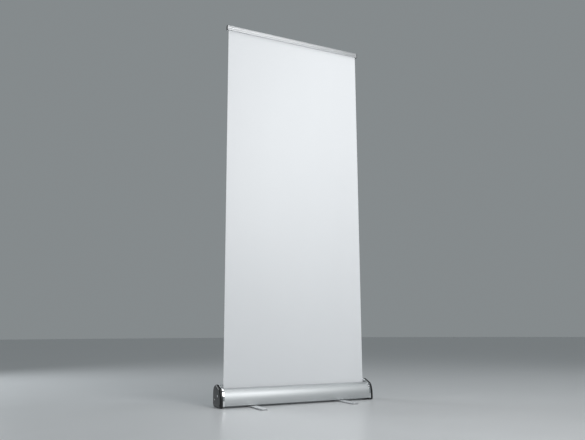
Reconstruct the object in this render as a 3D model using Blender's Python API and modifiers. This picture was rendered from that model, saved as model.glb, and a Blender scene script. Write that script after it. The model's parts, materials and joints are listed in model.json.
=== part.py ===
"""Roll-up banner stand: a sprung cassette on two swivel feet, a snap rail on a pole, and its graphic.

Metres, +Z up.  The graphic faces -Y.  Sizes are measured from the graphic's plane, the floor and the middle
of the stand; the empty "stand" then sets the whole assembly over the origin.
"""

import math

import bmesh
import bpy
from mathutils import Vector

# ---------------------------------------------------------------------------------------------------------
# Driving dimensions
# ---------------------------------------------------------------------------------------------------------
GAP = 0.0003  # between pieces that touch
RUNNING = 0.0004  # round a shaft, screw or pole that goes through a hole

STAND_HEIGHT = 2.121  # floor to the top of the rail
GRAPHIC_WIDTH = 0.850
FILM = 0.0004  # thickness of the graphic and of its leader

# Cassette housing, an open extrusion
HOUSING_MARGIN = 0.010  # housing past the graphic at each end
HOUSING_WALL = 0.0018
HOUSING_BOTTOM = 0.010  # underside above the floor
FRONT_REACH = 0.053  # graphic to the front of the housing
REAR_REACH = 0.060  # graphic to the back of the housing
LIP_HEIGHT = 0.095  # top of the front lip
CREST_HEIGHT = 0.1125  # highest line of the sloping top
REAR_RADIUS = 0.038
FRONT_EDGE_RADIUS = 0.003  # along the bottom edge in front
REAR_EDGE_RADIUS = 0.016  # along the bottom edge behind
SHOULDER = 0.010  # flat of the front lip ahead of the graphic
BELLY_HEIGHT = 0.024  # where the front stands furthest forward
FRONT_POWER = 2.3  # fullness of the front's curve, 2 being an ellipse
TOP_SLOPE = 16.0  # degrees, from the crest down towards the slot
SLOT_HALF = 0.005  # graphic to either side of the slot
SLOT_FLANGE = 0.014  # depth of the wall behind the slot
GROOVE_HEIGHT = 0.0195  # shadow line along the front, above the floor
GROOVE_WIDTH = 0.0016
GROOVE_DEPTH = 0.0009
BOSS_RADIUS = 0.0042  # screw channels inside the housing
BOSS_INSET = 0.0055  # channel centre from the housing's outside

# End trims and end caps
TRIM_WIDTH = 0.010
TRIM_BAND = 0.012
CAP_WIDTH = 0.0155
CAP_WALL = 0.0024
CAP_PROUD = 0.0020  # round the housing
CAP_FRONT_CORNER = 0.012
CAP_REAR_CORNER = 0.022
CAP_ROUNDING = 0.0085
CAP_FRONT_RISE = 0.005  # top of the cap's front above the housing's lip
CAP_FRONT_START = 115.0  # degrees round the front curve, where the sloping top meets it
CAP_POST_RADIUS = 0.0052
CAP_SCREW_SINK = 0.0040  # screw heads below the cap's face
AXLE_POST_RADIUS = 0.0085

# Screws that hold the caps and the axles
SCREW_RADIUS = 0.0015
SCREW_HEAD_RADIUS = 0.0030
SCREW_HEAD_HEIGHT = 0.0018
SCREW_GRIP = 0.012  # thread in the housing
AXLE_SCREW_HEAD_RADIUS = 0.0055
AXLE_SCREW_HEAD_HEIGHT = 0.0025
AXLE_SCREW_GRIP = 0.010
TAPPING_OVER = 0.003  # tapped hole beyond the axle screw's end

# Roller and spring motor
ROLLER_HEIGHT = 0.060
ROLLER_INSET = 0.004  # roller's end inside the housing's
ROLLER_RADIUS = 0.016
ROLLER_WALL = 0.0012
PLUG_LENGTH = 0.026
PLUG_FLANGE = 0.003
AXLE_RADIUS = 0.004
AXLE_SEAT = 0.0036  # axle's end to the inside of its cap
SPRING_ROD_LENGTH = 0.300
IDLE_PIN_LENGTH = 0.056
SPRING_WIRE = 0.0009
SPRING_RADIUS = 0.0085
SPRING_TURNS = 14
SPRING_FREE = 0.004  # coil to the plug and to the anchor
SPRING_POINTS = 9  # to a turn
ANCHOR_LENGTH = 0.012
ANCHOR_FREE = 0.0028  # anchor to the roller's bore
WRAP_THICKNESS = 0.0006  # leader left on the roller

# Slot brushes
BRUSH_DEPTH = 0.0085
BRUSH_THICKNESS = 0.0030
BRUSH_FREE = 0.0005  # pile to graphic

# Swivel feet
FOOT_LEFT_INSET = 0.156  # pivot from the housing's end
FOOT_RIGHT_INSET = 0.182
FOOT_PIVOT_Y = 0.004
FOOT_FRONT_ARM = 0.206
FOOT_REAR_ARM = 0.148
FOOT_WIDTH = 0.040
FOOT_THICKNESS = 0.005
FOOT_CORNER = 0.011
FOOT_EDGE = 0.0008
PAD_THICKNESS = 0.0017
PAD_LENGTH = 0.026
PAD_SIDE = 0.004  # bare bar beside a pad
PIVOT_SHANK_RADIUS = 0.0040
PIVOT_THREAD_RADIUS = 0.0025
PIVOT_HEAD_RADIUS = 0.0070
PIVOT_HEAD_HEIGHT = 0.0018
SPACER_RADIUS = 0.0100
NUT_RADIUS = 0.0052
NUT_HEIGHT = 0.0040
THREAD_OVER = 0.0015  # thread showing above the nut

# Pole
POLE_Y = 0.022  # behind the graphic
POLE_RADIUS = 0.008
POLE_WALL = 0.0008
POLE_BELOW_RAIL_TOP = 0.002
POLE_SECTIONS = 3
FERRULE_WALL = 0.0010
FERRULE_BELOW = 0.032
FERRULE_ABOVE = 0.040
PLUG_SPIGOT = 0.012
PLUG_HEAD = 0.0025
BUNGEE_RADIUS = 0.0015
BUNGEE_SLACK = 0.004  # short of the plugs' heads
SOCKET_WALL = 0.0035
SOCKET_PROUD = 0.002  # socket's mouth above the housing's crest
SOCKET_DEPTH = 0.028
SOCKET_FLANGE = 0.003
SOCKET_CHAMFER = 0.001
SEAT_WALL = 0.003
SEAT_HEIGHT = 0.014

# Rail
RAIL_MARGIN = 0.008  # rail past the graphic at each end
RAIL_HEIGHT = 0.026
RAIL_HALF_DEPTH = 0.0085
RAIL_WALL = 0.0026
RAIL_BEAD_RADIUS = 0.0018
RAIL_BEAD_Y = -0.0035
RAIL_BEAD_DROP = 0.0045  # hinge line below the rail's top
RAIL_RIB_LOW = 0.0020  # clamping rib above the rail's underside
RAIL_RIB_HIGH = 0.0060
RAIL_RIB_FREE = 0.0005  # rib to graphic
RAIL_RIB_DRAFT = 0.0010  # fall of the rib's upper side
RAIL_TOP_EDGE = 0.0010  # eased rear top edge
RAIL_HEEL = (0.0016, 0.0006)  # hook's heel behind and below the bead's seat
RAIL_JAW_SINK = 0.0008  # top of the jaw below the rail's top
RAIL_JAW_EDGE = 0.0012
RAIL_GROOVE_HEIGHT = 0.0125
RAIL_GROOVE_DEPTH = 0.0007
RAIL_GROOVE_HALF = 0.0006
RAIL_BITE = 0.012  # graphic held in the rail
RAIL_CAP_THICKNESS = 0.003
RAIL_CAP_PROUD = 0.0006
RAIL_CAP_CORNER = 0.0025
RAIL_PEG_FREE = (0.0012, 0.0010, 0.0040)  # peg to the clamping rib, above it and below the bead
RAIL_PEG_LENGTH = 0.008
CLIP_WALL = 0.0026
CLIP_LOW = 0.008  # clip's foot above the rail's underside
CLIP_BELOW_TOP = 0.001  # clip's upper end below the rail's top
CLIP_MOUTH = 62.0  # degrees to each side of the clip's open back
CLIP_PLATE_HALF = 0.022
CLIP_PLATE = 0.003
CLIP_SCREW_X = 0.0165
CLIP_SCREW_RADIUS = 0.0012
CLIP_SCREW_HEAD = 0.0025

# Tension lock pin
LOCK_Y = 0.024
LOCK_HEIGHT = 0.040
LOCK_RADIUS = 0.0020
LOCK_LENGTH = 0.016
LOCK_KNOB_RADIUS = 0.0048
LOCK_KNOB_HEIGHT = 0.0020
LOCK_POST_RADIUS = 0.0055

# Facets and least sizes
LEAST_CORNER = 0.0010  # radius left inside a corner that is drawn inwards
ROUND = 32
SMALL_ROUND = 16
CAP_HOLE_STEPS = 14

# ---------------------------------------------------------------------------------------------------------
# What follows from them
# ---------------------------------------------------------------------------------------------------------
HOUSING_LENGTH = GRAPHIC_WIDTH + 2 * HOUSING_MARGIN
ROLLER_LENGTH = HOUSING_LENGTH - 2 * ROLLER_INSET
RAIL_LENGTH = GRAPHIC_WIDTH + 2 * RAIL_MARGIN
GRAPHIC_Y = (FOOT_FRONT_ARM - FOOT_REAR_ARM) / 2 - FOOT_PIVOT_Y
HOUSING_END = HOUSING_LENGTH / 2
TRIM_END = HOUSING_END + GAP + TRIM_WIDTH
CAP_START = TRIM_END + GAP
CAP_END = CAP_START + CAP_WIDTH
CAP_FRONT_TOP = LIP_HEIGHT + CAP_FRONT_RISE
FLOOR_INSIDE = HOUSING_BOTTOM + HOUSING_WALL

WRAP_RADIUS = ROLLER_RADIUS + GAP + WRAP_THICKNESS
ROLLER_Y = -(WRAP_RADIUS + GAP + FILM / 2)
ROLLER_END = ROLLER_LENGTH / 2
PLUG_END = ROLLER_END + GAP + PLUG_FLANGE
AXLE_START = CAP_END - CAP_WALL - GAP - AXLE_SEAT
AXLE_BORE = AXLE_RADIUS + RUNNING
TUBE_BORE = ROLLER_RADIUS - ROLLER_WALL
ANCHOR_RADIUS = TUBE_BORE - ANCHOR_FREE
LEADER_TOP = LIP_HEIGHT - HOUSING_WALL - BRUSH_DEPTH / 2

FOOT_UNDERSIDE = PAD_THICKNESS + GAP
FOOT_TOP = FOOT_UNDERSIDE + FOOT_THICKNESS
FOOT_X = {"left": -(HOUSING_END - FOOT_LEFT_INSET), "right": HOUSING_END - FOOT_RIGHT_INSET}

RAIL_UNDERSIDE = STAND_HEIGHT - RAIL_HEIGHT
RAIL_HINGE = (RAIL_BEAD_Y, STAND_HEIGHT - RAIL_BEAD_DROP)
GRAPHIC_TOP = RAIL_UNDERSIDE + RAIL_BITE
CLIP_HIGH = RAIL_HEIGHT - CLIP_BELOW_TOP

SEAT_FLOOR = FLOOR_INSIDE + GAP + SEAT_WALL
POLE_FOOT = SEAT_FLOOR + GAP + PLUG_HEAD + GAP
POLE_TOP = STAND_HEIGHT - POLE_BELOW_RAIL_TOP - PLUG_HEAD - GAP
SECTION = (POLE_TOP - POLE_FOOT - (POLE_SECTIONS - 1) * GAP) / POLE_SECTIONS
POLE_BORE = POLE_RADIUS - POLE_WALL
SOCKET_BORE = POLE_RADIUS + RUNNING
SOCKET_RADIUS = SOCKET_BORE + SOCKET_WALL
SOCKET_TOP = CREST_HEIGHT + SOCKET_PROUD

SIDES = {"left": -1, "right": 1}


# ---------------------------------------------------------------------------------------------------------
# Workshop: materials, placing, and the few ways in which pieces are made
# ---------------------------------------------------------------------------------------------------------
def clear_scene():
    for old in list(bpy.data.objects):
        bpy.data.objects.remove(old, do_unlink=True)


def new_collection(name):
    made = bpy.data.collections.new(name)
    bpy.context.scene.collection.children.link(made)
    return made


clear_scene()
PARTS = new_collection("rollup_banner_stand")
CUTTERS = new_collection("cutters")


def new_material(name, colour, roughness, metallic=0.0):
    made = bpy.data.materials.new(name)
    made.use_nodes = True
    shader = made.node_tree.nodes["Principled BSDF"]
    shader.inputs["Base Color"].default_value = (*colour, 1.0)
    shader.inputs["Roughness"].default_value = roughness
    shader.inputs["Metallic"].default_value = metallic
    return made


ALUMINIUM = new_material("satin_aluminium", (0.78, 0.80, 0.82), 0.32, 1.0)
CHROME = new_material("chrome", (0.86, 0.87, 0.88), 0.08, 1.0)
STEEL = new_material("zinc_steel", (0.62, 0.63, 0.65), 0.28, 1.0)
BLACK_STEEL = new_material("black_steel", (0.030, 0.031, 0.034), 0.40)
SPRING_STEEL = new_material("spring_steel", (0.30, 0.31, 0.33), 0.35, 1.0)
BLACK_PLASTIC = new_material("black_plastic", (0.025, 0.027, 0.030), 0.38)
GREY_PLASTIC = new_material("grey_plastic", (0.22, 0.23, 0.24), 0.50)
WHITE_FILM = new_material("white_film", (0.86, 0.87, 0.89), 0.55)
BRUSH_PILE = new_material("brush_pile", (0.03, 0.03, 0.035), 0.90)
RUBBER = new_material("rubber", (0.02, 0.02, 0.02), 0.75)
ELASTIC = new_material("elastic_cord", (0.05, 0.05, 0.05), 0.85)


def new_pivot(name, place, parent=None):
    """An empty that a group of pieces hangs on, at a place measured from the stand's own middle."""
    made = bpy.data.objects.new(name, None)
    PARTS.objects.link(made)
    made["place"] = place
    if parent is not None:
        made.parent = parent
        made.location = Vector(place) - Vector(parent["place"])
    return made


def set_on(piece, pivot, place):
    piece.parent = pivot
    piece.location = Vector(place) - Vector(pivot["place"])
    return piece


def finish(piece, material, pivot, place=(0, 0, 0)):
    """Dresses a piece, puts it among the parts and hangs it on its pivot."""
    for home in list(piece.users_collection):
        home.objects.unlink(piece)
    PARTS.objects.link(piece)
    piece.data.materials.clear()
    piece.data.materials.append(material)
    return set_on(piece, pivot, place)


def smooth(mesh, angle=35.0):
    mesh.shade_smooth()
    mesh.set_sharp_from_angle(angle=math.radians(angle))


def arc(centre, semi, start, end, steps, power=2.0):
    """Points of an ellipse's stretch: 0 degrees is +Y, 90 degrees +Z, and a power above 2 is fuller."""
    points = []
    for step in range(steps + 1):
        angle = math.radians(start + (end - start) * step / steps)
        cosine, sine = math.cos(angle), math.sin(angle)
        points.append(
            (
                centre[0] + semi[0] * math.copysign(abs(cosine) ** (2 / power), cosine),
                centre[1] + semi[1] * math.copysign(abs(sine) ** (2 / power), sine),
            )
        )
    return points


def outline_mesh(name, outlines, thickness):
    """A flat outline, and any holes in it, thickened evenly about its plane and welded."""
    curve = bpy.data.curves.new(name, "CURVE")
    curve.dimensions = "2D"
    curve.fill_mode = "BOTH"
    curve.extrude = thickness / 2
    for outline in outlines:
        spline = curve.splines.new("POLY")
        spline.points.add(len(outline) - 1)
        for point, (across, up) in zip(spline.points, outline):
            point.co = (across, up, 0.0, 1.0)
        spline.use_cyclic_u = True
    drawn = bpy.data.objects.new(name + "_outline", curve)
    bpy.context.scene.collection.objects.link(drawn)
    evaluated = drawn.evaluated_get(bpy.context.evaluated_depsgraph_get())
    mesh = bpy.data.meshes.new_from_object(evaluated)
    mesh.name = name
    bpy.data.objects.remove(drawn)
    work = bmesh.new()
    work.from_mesh(mesh)
    bmesh.ops.remove_doubles(work, verts=work.verts, dist=0.00001)
    bmesh.ops.recalc_face_normals(work, faces=work.faces)
    work.to_mesh(mesh)
    work.free()
    return mesh


def prism(name, outlines, start, end):
    """Outlines in Y and Z drawn out along X from start to end.  Returns the piece; its middle is at x."""
    low, high = min(start, end), max(start, end)
    mesh = outline_mesh(name, outlines, high - low)
    smooth(mesh)
    piece = bpy.data.objects.new(name, mesh)
    piece.rotation_euler = (math.pi / 2, 0, math.pi / 2)
    PARTS.objects.link(piece)
    return piece, ((low + high) / 2, 0, 0)


def turned(name, profile, closed=False, steps=ROUND, towards="+Z"):
    """A (radius, height) profile that runs down its outer side, turned about an axis along towards."""
    mesh = bpy.data.meshes.new(name)
    work = bmesh.new()
    corners = [work.verts.new((radius, 0, height)) for radius, height in profile]
    for first, second in zip(corners, corners[1:]):
        work.edges.new((first, second))
    if closed:
        work.edges.new((corners[-1], corners[0]))
    work.to_mesh(mesh)
    work.free()
    piece = bpy.data.objects.new(name, mesh)
    turn = piece.modifiers.new("turn", "SCREW")
    turn.angle = math.tau
    turn.axis = "Z"
    turn.steps = steps
    turn.render_steps = steps
    turn.use_merge_vertices = True
    turn.merge_threshold = 0.00001
    turn.use_smooth_shade = True
    piece.rotation_euler = {
        "+Z": (0, 0, 0),
        "-Z": (math.pi, 0, 0),
        "+X": (0, math.pi / 2, 0),
        "-X": (0, -math.pi / 2, 0),
        "+Y": (-math.pi / 2, 0, 0),
    }[towards]
    PARTS.objects.link(piece)
    return piece


def ring(name, outer, inner, low, high, steps=ROUND, towards="+Z"):
    """A plain tube between two heights on its own axis."""
    profile = [(outer, high), (outer, low), (inner, low), (inner, high)]
    return turned(name, profile, closed=True, steps=steps, towards=towards)


def screw(name, radius, length, head_radius, head_height, towards, steps=SMALL_ROUND):
    """A pan-headed screw: the underside of its head at height 0, the shank below it."""
    crown = head_height * 0.45
    profile = [
        (0, head_height),
        (head_radius * 0.62, head_height),
        (head_radius, crown),
        (head_radius, 0),
        (radius, 0),
        (radius, radius - length),
        (0, -length),
    ]
    return turned(name, profile, steps=steps, towards=towards)


def box(name, low, high):
    """A plain block between two corners."""
    bpy.ops.mesh.primitive_cube_add(size=1.0)
    piece = bpy.context.object
    piece.name = name
    size = Vector(high) - Vector(low)
    for vertex in piece.data.vertices:
        vertex.co = Vector(c * s for c, s in zip(vertex.co, size))
    return piece, tuple((Vector(high) + Vector(low)) / 2)


def as_tool(piece, pivot, place):
    """Keeps a body as a boolean's hidden operand."""
    for home in list(piece.users_collection):
        home.objects.unlink(piece)
    CUTTERS.objects.link(piece)
    piece.hide_render = True
    piece.display_type = "WIRE"
    return set_on(piece, pivot, place)


def drill(name, radius, length, pivot, place, towards="+X", steps=24):
    """A round cutter with its middle at place."""
    profile = [(0, length / 2), (radius, length / 2), (radius, -length / 2), (0, -length / 2)]
    return as_tool(turned(name, profile, steps=steps, towards=towards), pivot, place)


def combine(piece, tool, operation):
    step = piece.modifiers.new(operation.lower(), "BOOLEAN")
    step.operation = operation
    step.solver = "EXACT"
    step.object = tool


def round_edges(piece, width, segments=2, angle=40.0):
    step = piece.modifiers.new("edge", "BEVEL")
    step.width = width
    step.segments = segments
    step.limit_method = "ANGLE"
    step.angle_limit = math.radians(angle)


# ---------------------------------------------------------------------------------------------------------
# Cassette housing
# ---------------------------------------------------------------------------------------------------------
def slope_at(y, crest):
    """Height of the sloping top at y, from the end of the rear curve."""
    return crest[1] - (crest[0] - y) * math.tan(math.radians(TOP_SLOPE))


def front_curve(inset, top=LIP_HEIGHT, start=90.0):
    semi = (FRONT_REACH - SHOULDER - inset, top - BELLY_HEIGHT - inset)
    return arc((-SHOULDER, BELLY_HEIGHT), semi, start, 180, 14, FRONT_POWER)


def rear_curve(inset):
    centre = (REAR_REACH - REAR_RADIUS, CREST_HEIGHT - REAR_RADIUS)
    radius = REAR_RADIUS - inset
    return arc(centre, (radius, radius), 0, 90 + TOP_SLOPE, 10)


def bottom_corner(side_y, floor, radius, inset, start):
    """Quarter turn between a side wall and a floor; the inset draws it inwards."""
    radius = max(radius, inset + LEAST_CORNER)
    centre_y = side_y - math.copysign(radius, side_y)
    turn = (radius - inset, radius - inset)
    return arc((centre_y, floor + radius), turn, start, start + 90, 4)


def housing_line(inset):
    """The housing's section from the front lip, round the bottom and up to the end of the rear curve."""
    corners = bottom_corner(-FRONT_REACH, HOUSING_BOTTOM, FRONT_EDGE_RADIUS, inset, 180)
    corners += bottom_corner(REAR_REACH, HOUSING_BOTTOM, REAR_EDGE_RADIUS, inset, 270)
    return front_curve(inset), corners, rear_curve(inset)


def front_groove():
    """The shadow line cut along the front, below the belly."""
    low, high = GROOVE_HEIGHT - GROOVE_WIDTH / 2, GROOVE_HEIGHT + GROOVE_WIDTH / 2
    back = -FRONT_REACH + GROOVE_DEPTH
    return [(-FRONT_REACH, high), (back, high - GROOVE_DEPTH / 2), (back, low), (-FRONT_REACH, low)]


def housing_section():
    front, corners, rear = housing_line(0)
    inner_front, inner_corners, inner_rear = housing_line(HOUSING_WALL)
    slot_rear = slope_at(SLOT_HALF, rear[-1])
    flange_foot = slot_rear - SLOT_FLANGE
    behind = SLOT_HALF + HOUSING_WALL
    flange = [
        (SLOT_HALF, slot_rear),
        (SLOT_HALF, flange_foot),
        (behind, flange_foot),
        (behind, slope_at(behind, inner_rear[-1])),
    ]
    outside = [(-SLOT_HALF, LIP_HEIGHT)] + front + front_groove() + corners + rear
    inside = inner_rear[::-1] + inner_corners[::-1] + inner_front[::-1]
    return outside + flange + inside + [(-SLOT_HALF, LIP_HEIGHT - HOUSING_WALL)]


def boss_places():
    """The three screw channels, as (y, z)."""
    low = (REAR_EDGE_RADIUS - BOSS_INSET) / math.sqrt(2)
    high = (REAR_RADIUS - BOSS_INSET) / math.sqrt(2)
    return [
        (-FRONT_REACH + BOSS_INSET, HOUSING_BOTTOM + BOSS_INSET),
        (REAR_REACH - REAR_EDGE_RADIUS + low, HOUSING_BOTTOM + REAR_EDGE_RADIUS - low),
        (REAR_REACH - REAR_RADIUS + high, CREST_HEIGHT - REAR_RADIUS + high),
    ]


def make_housing(stand):
    housing, place = prism("cassette_housing", [housing_section()], -HOUSING_END, HOUSING_END)
    finish(housing, ALUMINIUM, stand, place)
    bore = SCREW_RADIUS + RUNNING
    for number, (y, z) in enumerate(boss_places(), 1):
        half = HOUSING_END - GAP
        channel = turned(
            f"channel_{number}",
            [(0, half), (BOSS_RADIUS, half), (BOSS_RADIUS, -half), (0, -half)],
            steps=SMALL_ROUND,
            towards="+X",
        )
        combine(housing, as_tool(channel, stand, (0, y, z)), "UNION")
    for number, (y, z) in enumerate(boss_places(), 1):
        hole = drill(f"channel_hole_{number}", bore, HOUSING_LENGTH + 0.01, stand, (0, y, z), steps=12)
        combine(housing, hole, "DIFFERENCE")
    crest = (0, POLE_Y, CREST_HEIGHT)
    pole_hole = drill("pole_hole", SOCKET_RADIUS + GAP, CREST_HEIGHT / 2, stand, crest, "+Z", ROUND)
    combine(housing, pole_hole, "DIFFERENCE")
    bore = PIVOT_THREAD_RADIUS + RUNNING
    for side, x in FOOT_X.items():
        place = (x, FOOT_PIVOT_Y, HOUSING_BOTTOM)
        hole = drill(f"pivot_hole_{side}", bore, HOUSING_WALL * 6, stand, place, "+Z", SMALL_ROUND)
        combine(housing, hole, "DIFFERENCE")


def make_brushes(stand):
    """Two pile strips that wipe the graphic as it passes the slot."""
    half = GRAPHIC_WIDTH / 2
    top = LIP_HEIGHT - HOUSING_WALL - GAP
    places = {"slot_brush_front": -BRUSH_FREE - BRUSH_THICKNESS, "slot_brush_rear": BRUSH_FREE}
    for name, near in places.items():
        low = (-half, near, top - BRUSH_DEPTH)
        piece, place = box(name, low, (half, near + BRUSH_THICKNESS, top))
        finish(piece, BRUSH_PILE, stand, place)


# ---------------------------------------------------------------------------------------------------------
# End trims and end caps
# ---------------------------------------------------------------------------------------------------------
def end_outline(inset, floor, front_corner, rear_corner):
    """The housing's outline stood off all round, with a sloping top of its own and its foot at floor."""
    grown = inset - CAP_PROUD
    front = front_curve(grown, top=CAP_FRONT_TOP, start=CAP_FRONT_START)
    corners = bottom_corner(-FRONT_REACH - CAP_PROUD, floor, front_corner, inset, 180)
    corners += bottom_corner(REAR_REACH + CAP_PROUD, floor, rear_corner, inset, 270)
    return front + corners + rear_curve(grown)


def trim_outline(inset):
    """The trim keeps its bottom edge along the housing's."""
    corners = (FRONT_EDGE_RADIUS + CAP_PROUD, REAR_EDGE_RADIUS + CAP_PROUD)
    return end_outline(inset, HOUSING_BOTTOM - CAP_PROUD, *corners)


def cap_outline(inset):
    """The cap goes down to the floor."""
    return end_outline(inset, 0.0, CAP_FRONT_CORNER, CAP_REAR_CORNER)


def make_trim(side, sign, stand):
    start = sign * (HOUSING_END + GAP)
    band = [trim_outline(GAP), trim_outline(TRIM_BAND)]
    trim, place = prism(f"end_trim_{side}", band, start, sign * TRIM_END)
    finish(trim, CHROME, stand, place)
    bore = SCREW_RADIUS + RUNNING
    for number, (y, z) in enumerate(boss_places(), 1):
        middle = (sign * (TRIM_END - TRIM_WIDTH / 2), y, z)
        hole = drill(f"trim_hole_{side}_{number}", bore, TRIM_WIDTH * 2, stand, middle, steps=12)
        combine(trim, hole, "DIFFERENCE")


def round_outer_rim(piece, sign, width, rounding):
    """Rolls the outer edge of a cap, or of the hollow inside it, over."""
    mesh = piece.data
    work = bmesh.new()
    work.from_mesh(mesh)
    face_height = sign * width / 2
    flat = [f for f in work.faces if all(abs(v.co.z - face_height) < GAP / 10 for v in f.verts)]
    face = bmesh.ops.dissolve_faces(work, faces=flat, use_verts=False)["region"][0]
    rim = list(face.edges)
    bmesh.ops.bevel(work, geom=rim, offset=rounding, affect="EDGES", segments=4, profile=0.5, material=-1)
    work.to_mesh(mesh)
    work.free()
    smooth(mesh)


def post(name, stand, sign, y, z, radius, inner_end):
    """A round post from the cap's outer wall inwards, as a boolean's operand."""
    outer_end = CAP_END - CAP_WALL / 2
    middle = sign * (outer_end + inner_end) / 2
    return drill(name, radius, outer_end - inner_end, stand, (middle, y, z))


def make_cap(side, sign, stand):
    cap, place = prism(f"end_cap_{side}", [cap_outline(0)], sign * CAP_START, sign * CAP_END)
    round_outer_rim(cap, sign, CAP_WIDTH, CAP_ROUNDING)
    finish(cap, BLACK_PLASTIC, stand, place)
    mouth, ceiling = CAP_START - CAP_WALL, CAP_END - CAP_WALL
    hollow, place = prism(f"cap_hollow_{side}", [cap_outline(CAP_WALL)], sign * mouth, sign * ceiling)
    round_outer_rim(hollow, sign, ceiling - mouth, CAP_ROUNDING - CAP_WALL)
    combine(cap, as_tool(hollow, stand, place), "DIFFERENCE")

    near = CAP_START + GAP
    posts = []
    for number, (y, z) in enumerate(boss_places(), 1):
        posts.append((f"cap_post_{side}_{number}", y, z, CAP_POST_RADIUS, near))
    posts.append((f"axle_post_{side}", ROLLER_Y, ROLLER_HEIGHT, AXLE_POST_RADIUS, PLUG_END + 4 * GAP))
    if side == "left":
        posts.append(("lock_post", LOCK_Y, LOCK_HEIGHT, LOCK_POST_RADIUS, near))
    for name, y, z, radius, inner_end in posts:
        combine(cap, post(name, stand, sign, y, z, radius, inner_end), "UNION")

    for name, y, z, radii, step in cap_holes(side):
        cutter = stepped_drill(name, radii, step, sign)
        combine(cap, as_tool(cutter, stand, (0, y, z)), "DIFFERENCE")


def stepped_drill(name, radii, step, sign):
    """A cutter along X through a cap's post: its inner radius up to the step, then its outer radius."""
    inside, outside = PLUG_END, CAP_END + CAP_WIDTH
    inner, outer = radii
    profile = [(0, outside), (outer, outside), (outer, step), (inner, step), (inner, inside), (0, inside)]
    return turned(name, profile, steps=CAP_HOLE_STEPS, towards="+X" if sign > 0 else "-X")


def cap_holes(side):
    """Holes of a cap, each as (name, y, z, (inner radius, outer radius), step)."""
    bore = SCREW_RADIUS + RUNNING
    sunk = (bore, SCREW_HEAD_RADIUS + RUNNING)
    holes = []
    for number, (y, z) in enumerate(boss_places(), 1):
        holes.append((f"cap_hole_{side}_{number}", y, z, sunk, CAP_END - CAP_SCREW_SINK))
    holes.append((f"axle_hole_{side}", ROLLER_Y, ROLLER_HEIGHT, (AXLE_BORE, bore), AXLE_START + GAP))
    if side == "left":
        lock = LOCK_RADIUS + RUNNING
        holes.append(("lock_hole", LOCK_Y, LOCK_HEIGHT, (lock, lock + GAP), CAP_END - CAP_WALL / 3))
    return holes


def make_cap_screws(side, sign, stand):
    outwards = "+X" if sign > 0 else "-X"
    head_seat = CAP_END - CAP_SCREW_SINK + GAP
    length = head_seat - HOUSING_END + SCREW_GRIP
    head = (SCREW_HEAD_RADIUS, SCREW_HEAD_HEIGHT)
    for number, (y, z) in enumerate(boss_places(), 1):
        made = screw(f"cap_screw_{side}_{number}", SCREW_RADIUS, length, *head, outwards)
        finish(made, BLACK_STEEL, stand, (sign * head_seat, y, z))
    head_seat = CAP_END + GAP
    length = head_seat - AXLE_START + AXLE_SCREW_GRIP
    head = (AXLE_SCREW_HEAD_RADIUS, AXLE_SCREW_HEAD_HEIGHT)
    made = screw(f"axle_screw_{side}", SCREW_RADIUS, length, *head, outwards)
    finish(made, STEEL, stand, (sign * head_seat, ROLLER_Y, ROLLER_HEIGHT))


def make_lock_pin(stand):
    """A pin with a knob, drawn out to free the roller while a graphic is changed."""
    place = (-(CAP_END + GAP), LOCK_Y, LOCK_HEIGHT)
    pivot = new_pivot("lock_pin_slide", place, stand)
    knob = (LOCK_KNOB_RADIUS, LOCK_KNOB_HEIGHT)
    pin = screw("lock_pin", LOCK_RADIUS, LOCK_LENGTH, *knob, "-X", steps=20)
    finish(pin, STEEL, pivot, place)


# ---------------------------------------------------------------------------------------------------------
# Roller and spring motor
# ---------------------------------------------------------------------------------------------------------
def make_axle(name, length, sign, stand):
    """A fixed axle with a tapped end, held in its cap's post and reaching inwards."""
    hole = SCREW_RADIUS + RUNNING
    tapped = AXLE_SCREW_GRIP + TAPPING_OVER
    chamfer = AXLE_RADIUS * 0.25
    profile = [
        (0, -tapped),
        (hole, -tapped),
        (hole, 0),
        (AXLE_RADIUS - chamfer, 0),
        (AXLE_RADIUS, -chamfer),
        (AXLE_RADIUS, chamfer - length),
        (AXLE_RADIUS - chamfer, -length),
        (0, -length),
    ]
    axle = turned(name, profile, steps=SMALL_ROUND, towards="+X" if sign > 0 else "-X")
    finish(axle, STEEL, stand, (sign * AXLE_START, ROLLER_Y, ROLLER_HEIGHT))


def make_spring_motor(stand):
    make_axle("spring_rod", SPRING_ROD_LENGTH, -1, stand)
    make_axle("idle_pin", IDLE_PIN_LENGTH, 1, stand)
    rod_end = -AXLE_START + SPRING_ROD_LENGTH
    half = ANCHOR_LENGTH / 2
    anchor = ring("spring_anchor", ANCHOR_RADIUS, AXLE_BORE, -half, half, SMALL_ROUND, "+X")
    finish(anchor, GREY_PLASTIC, stand, (rod_end - ANCHOR_LENGTH, ROLLER_Y, ROLLER_HEIGHT))


def make_roller(stand):
    axis = (0, ROLLER_Y, ROLLER_HEIGHT)
    pivot = new_pivot("roller_axis", axis, stand)
    tube = ring("roller_tube", ROLLER_RADIUS, TUBE_BORE, -ROLLER_END, ROLLER_END, towards="+X")
    finish(tube, ALUMINIUM, pivot, axis)

    wrap_half = GRAPHIC_WIDTH / 2
    wrap = ring("leader_wrap", WRAP_RADIUS, ROLLER_RADIUS + GAP, -wrap_half, wrap_half, towards="+X")
    finish(wrap, WHITE_FILM, pivot, axis)

    spigot = TUBE_BORE - GAP
    for side, sign in SIDES.items():
        profile = [
            (ROLLER_RADIUS, PLUG_FLANGE),
            (ROLLER_RADIUS, 0),
            (spigot, 0),
            (spigot, -PLUG_LENGTH),
            (AXLE_BORE, -PLUG_LENGTH),
            (AXLE_BORE, PLUG_FLANGE),
        ]
        outwards = "+X" if sign > 0 else "-X"
        plug = turned(f"roller_plug_{side}", profile, closed=True, steps=24, towards=outwards)
        finish(plug, GREY_PLASTIC, pivot, (sign * (ROLLER_END + GAP), ROLLER_Y, ROLLER_HEIGHT))
    make_spring(pivot)


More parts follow.
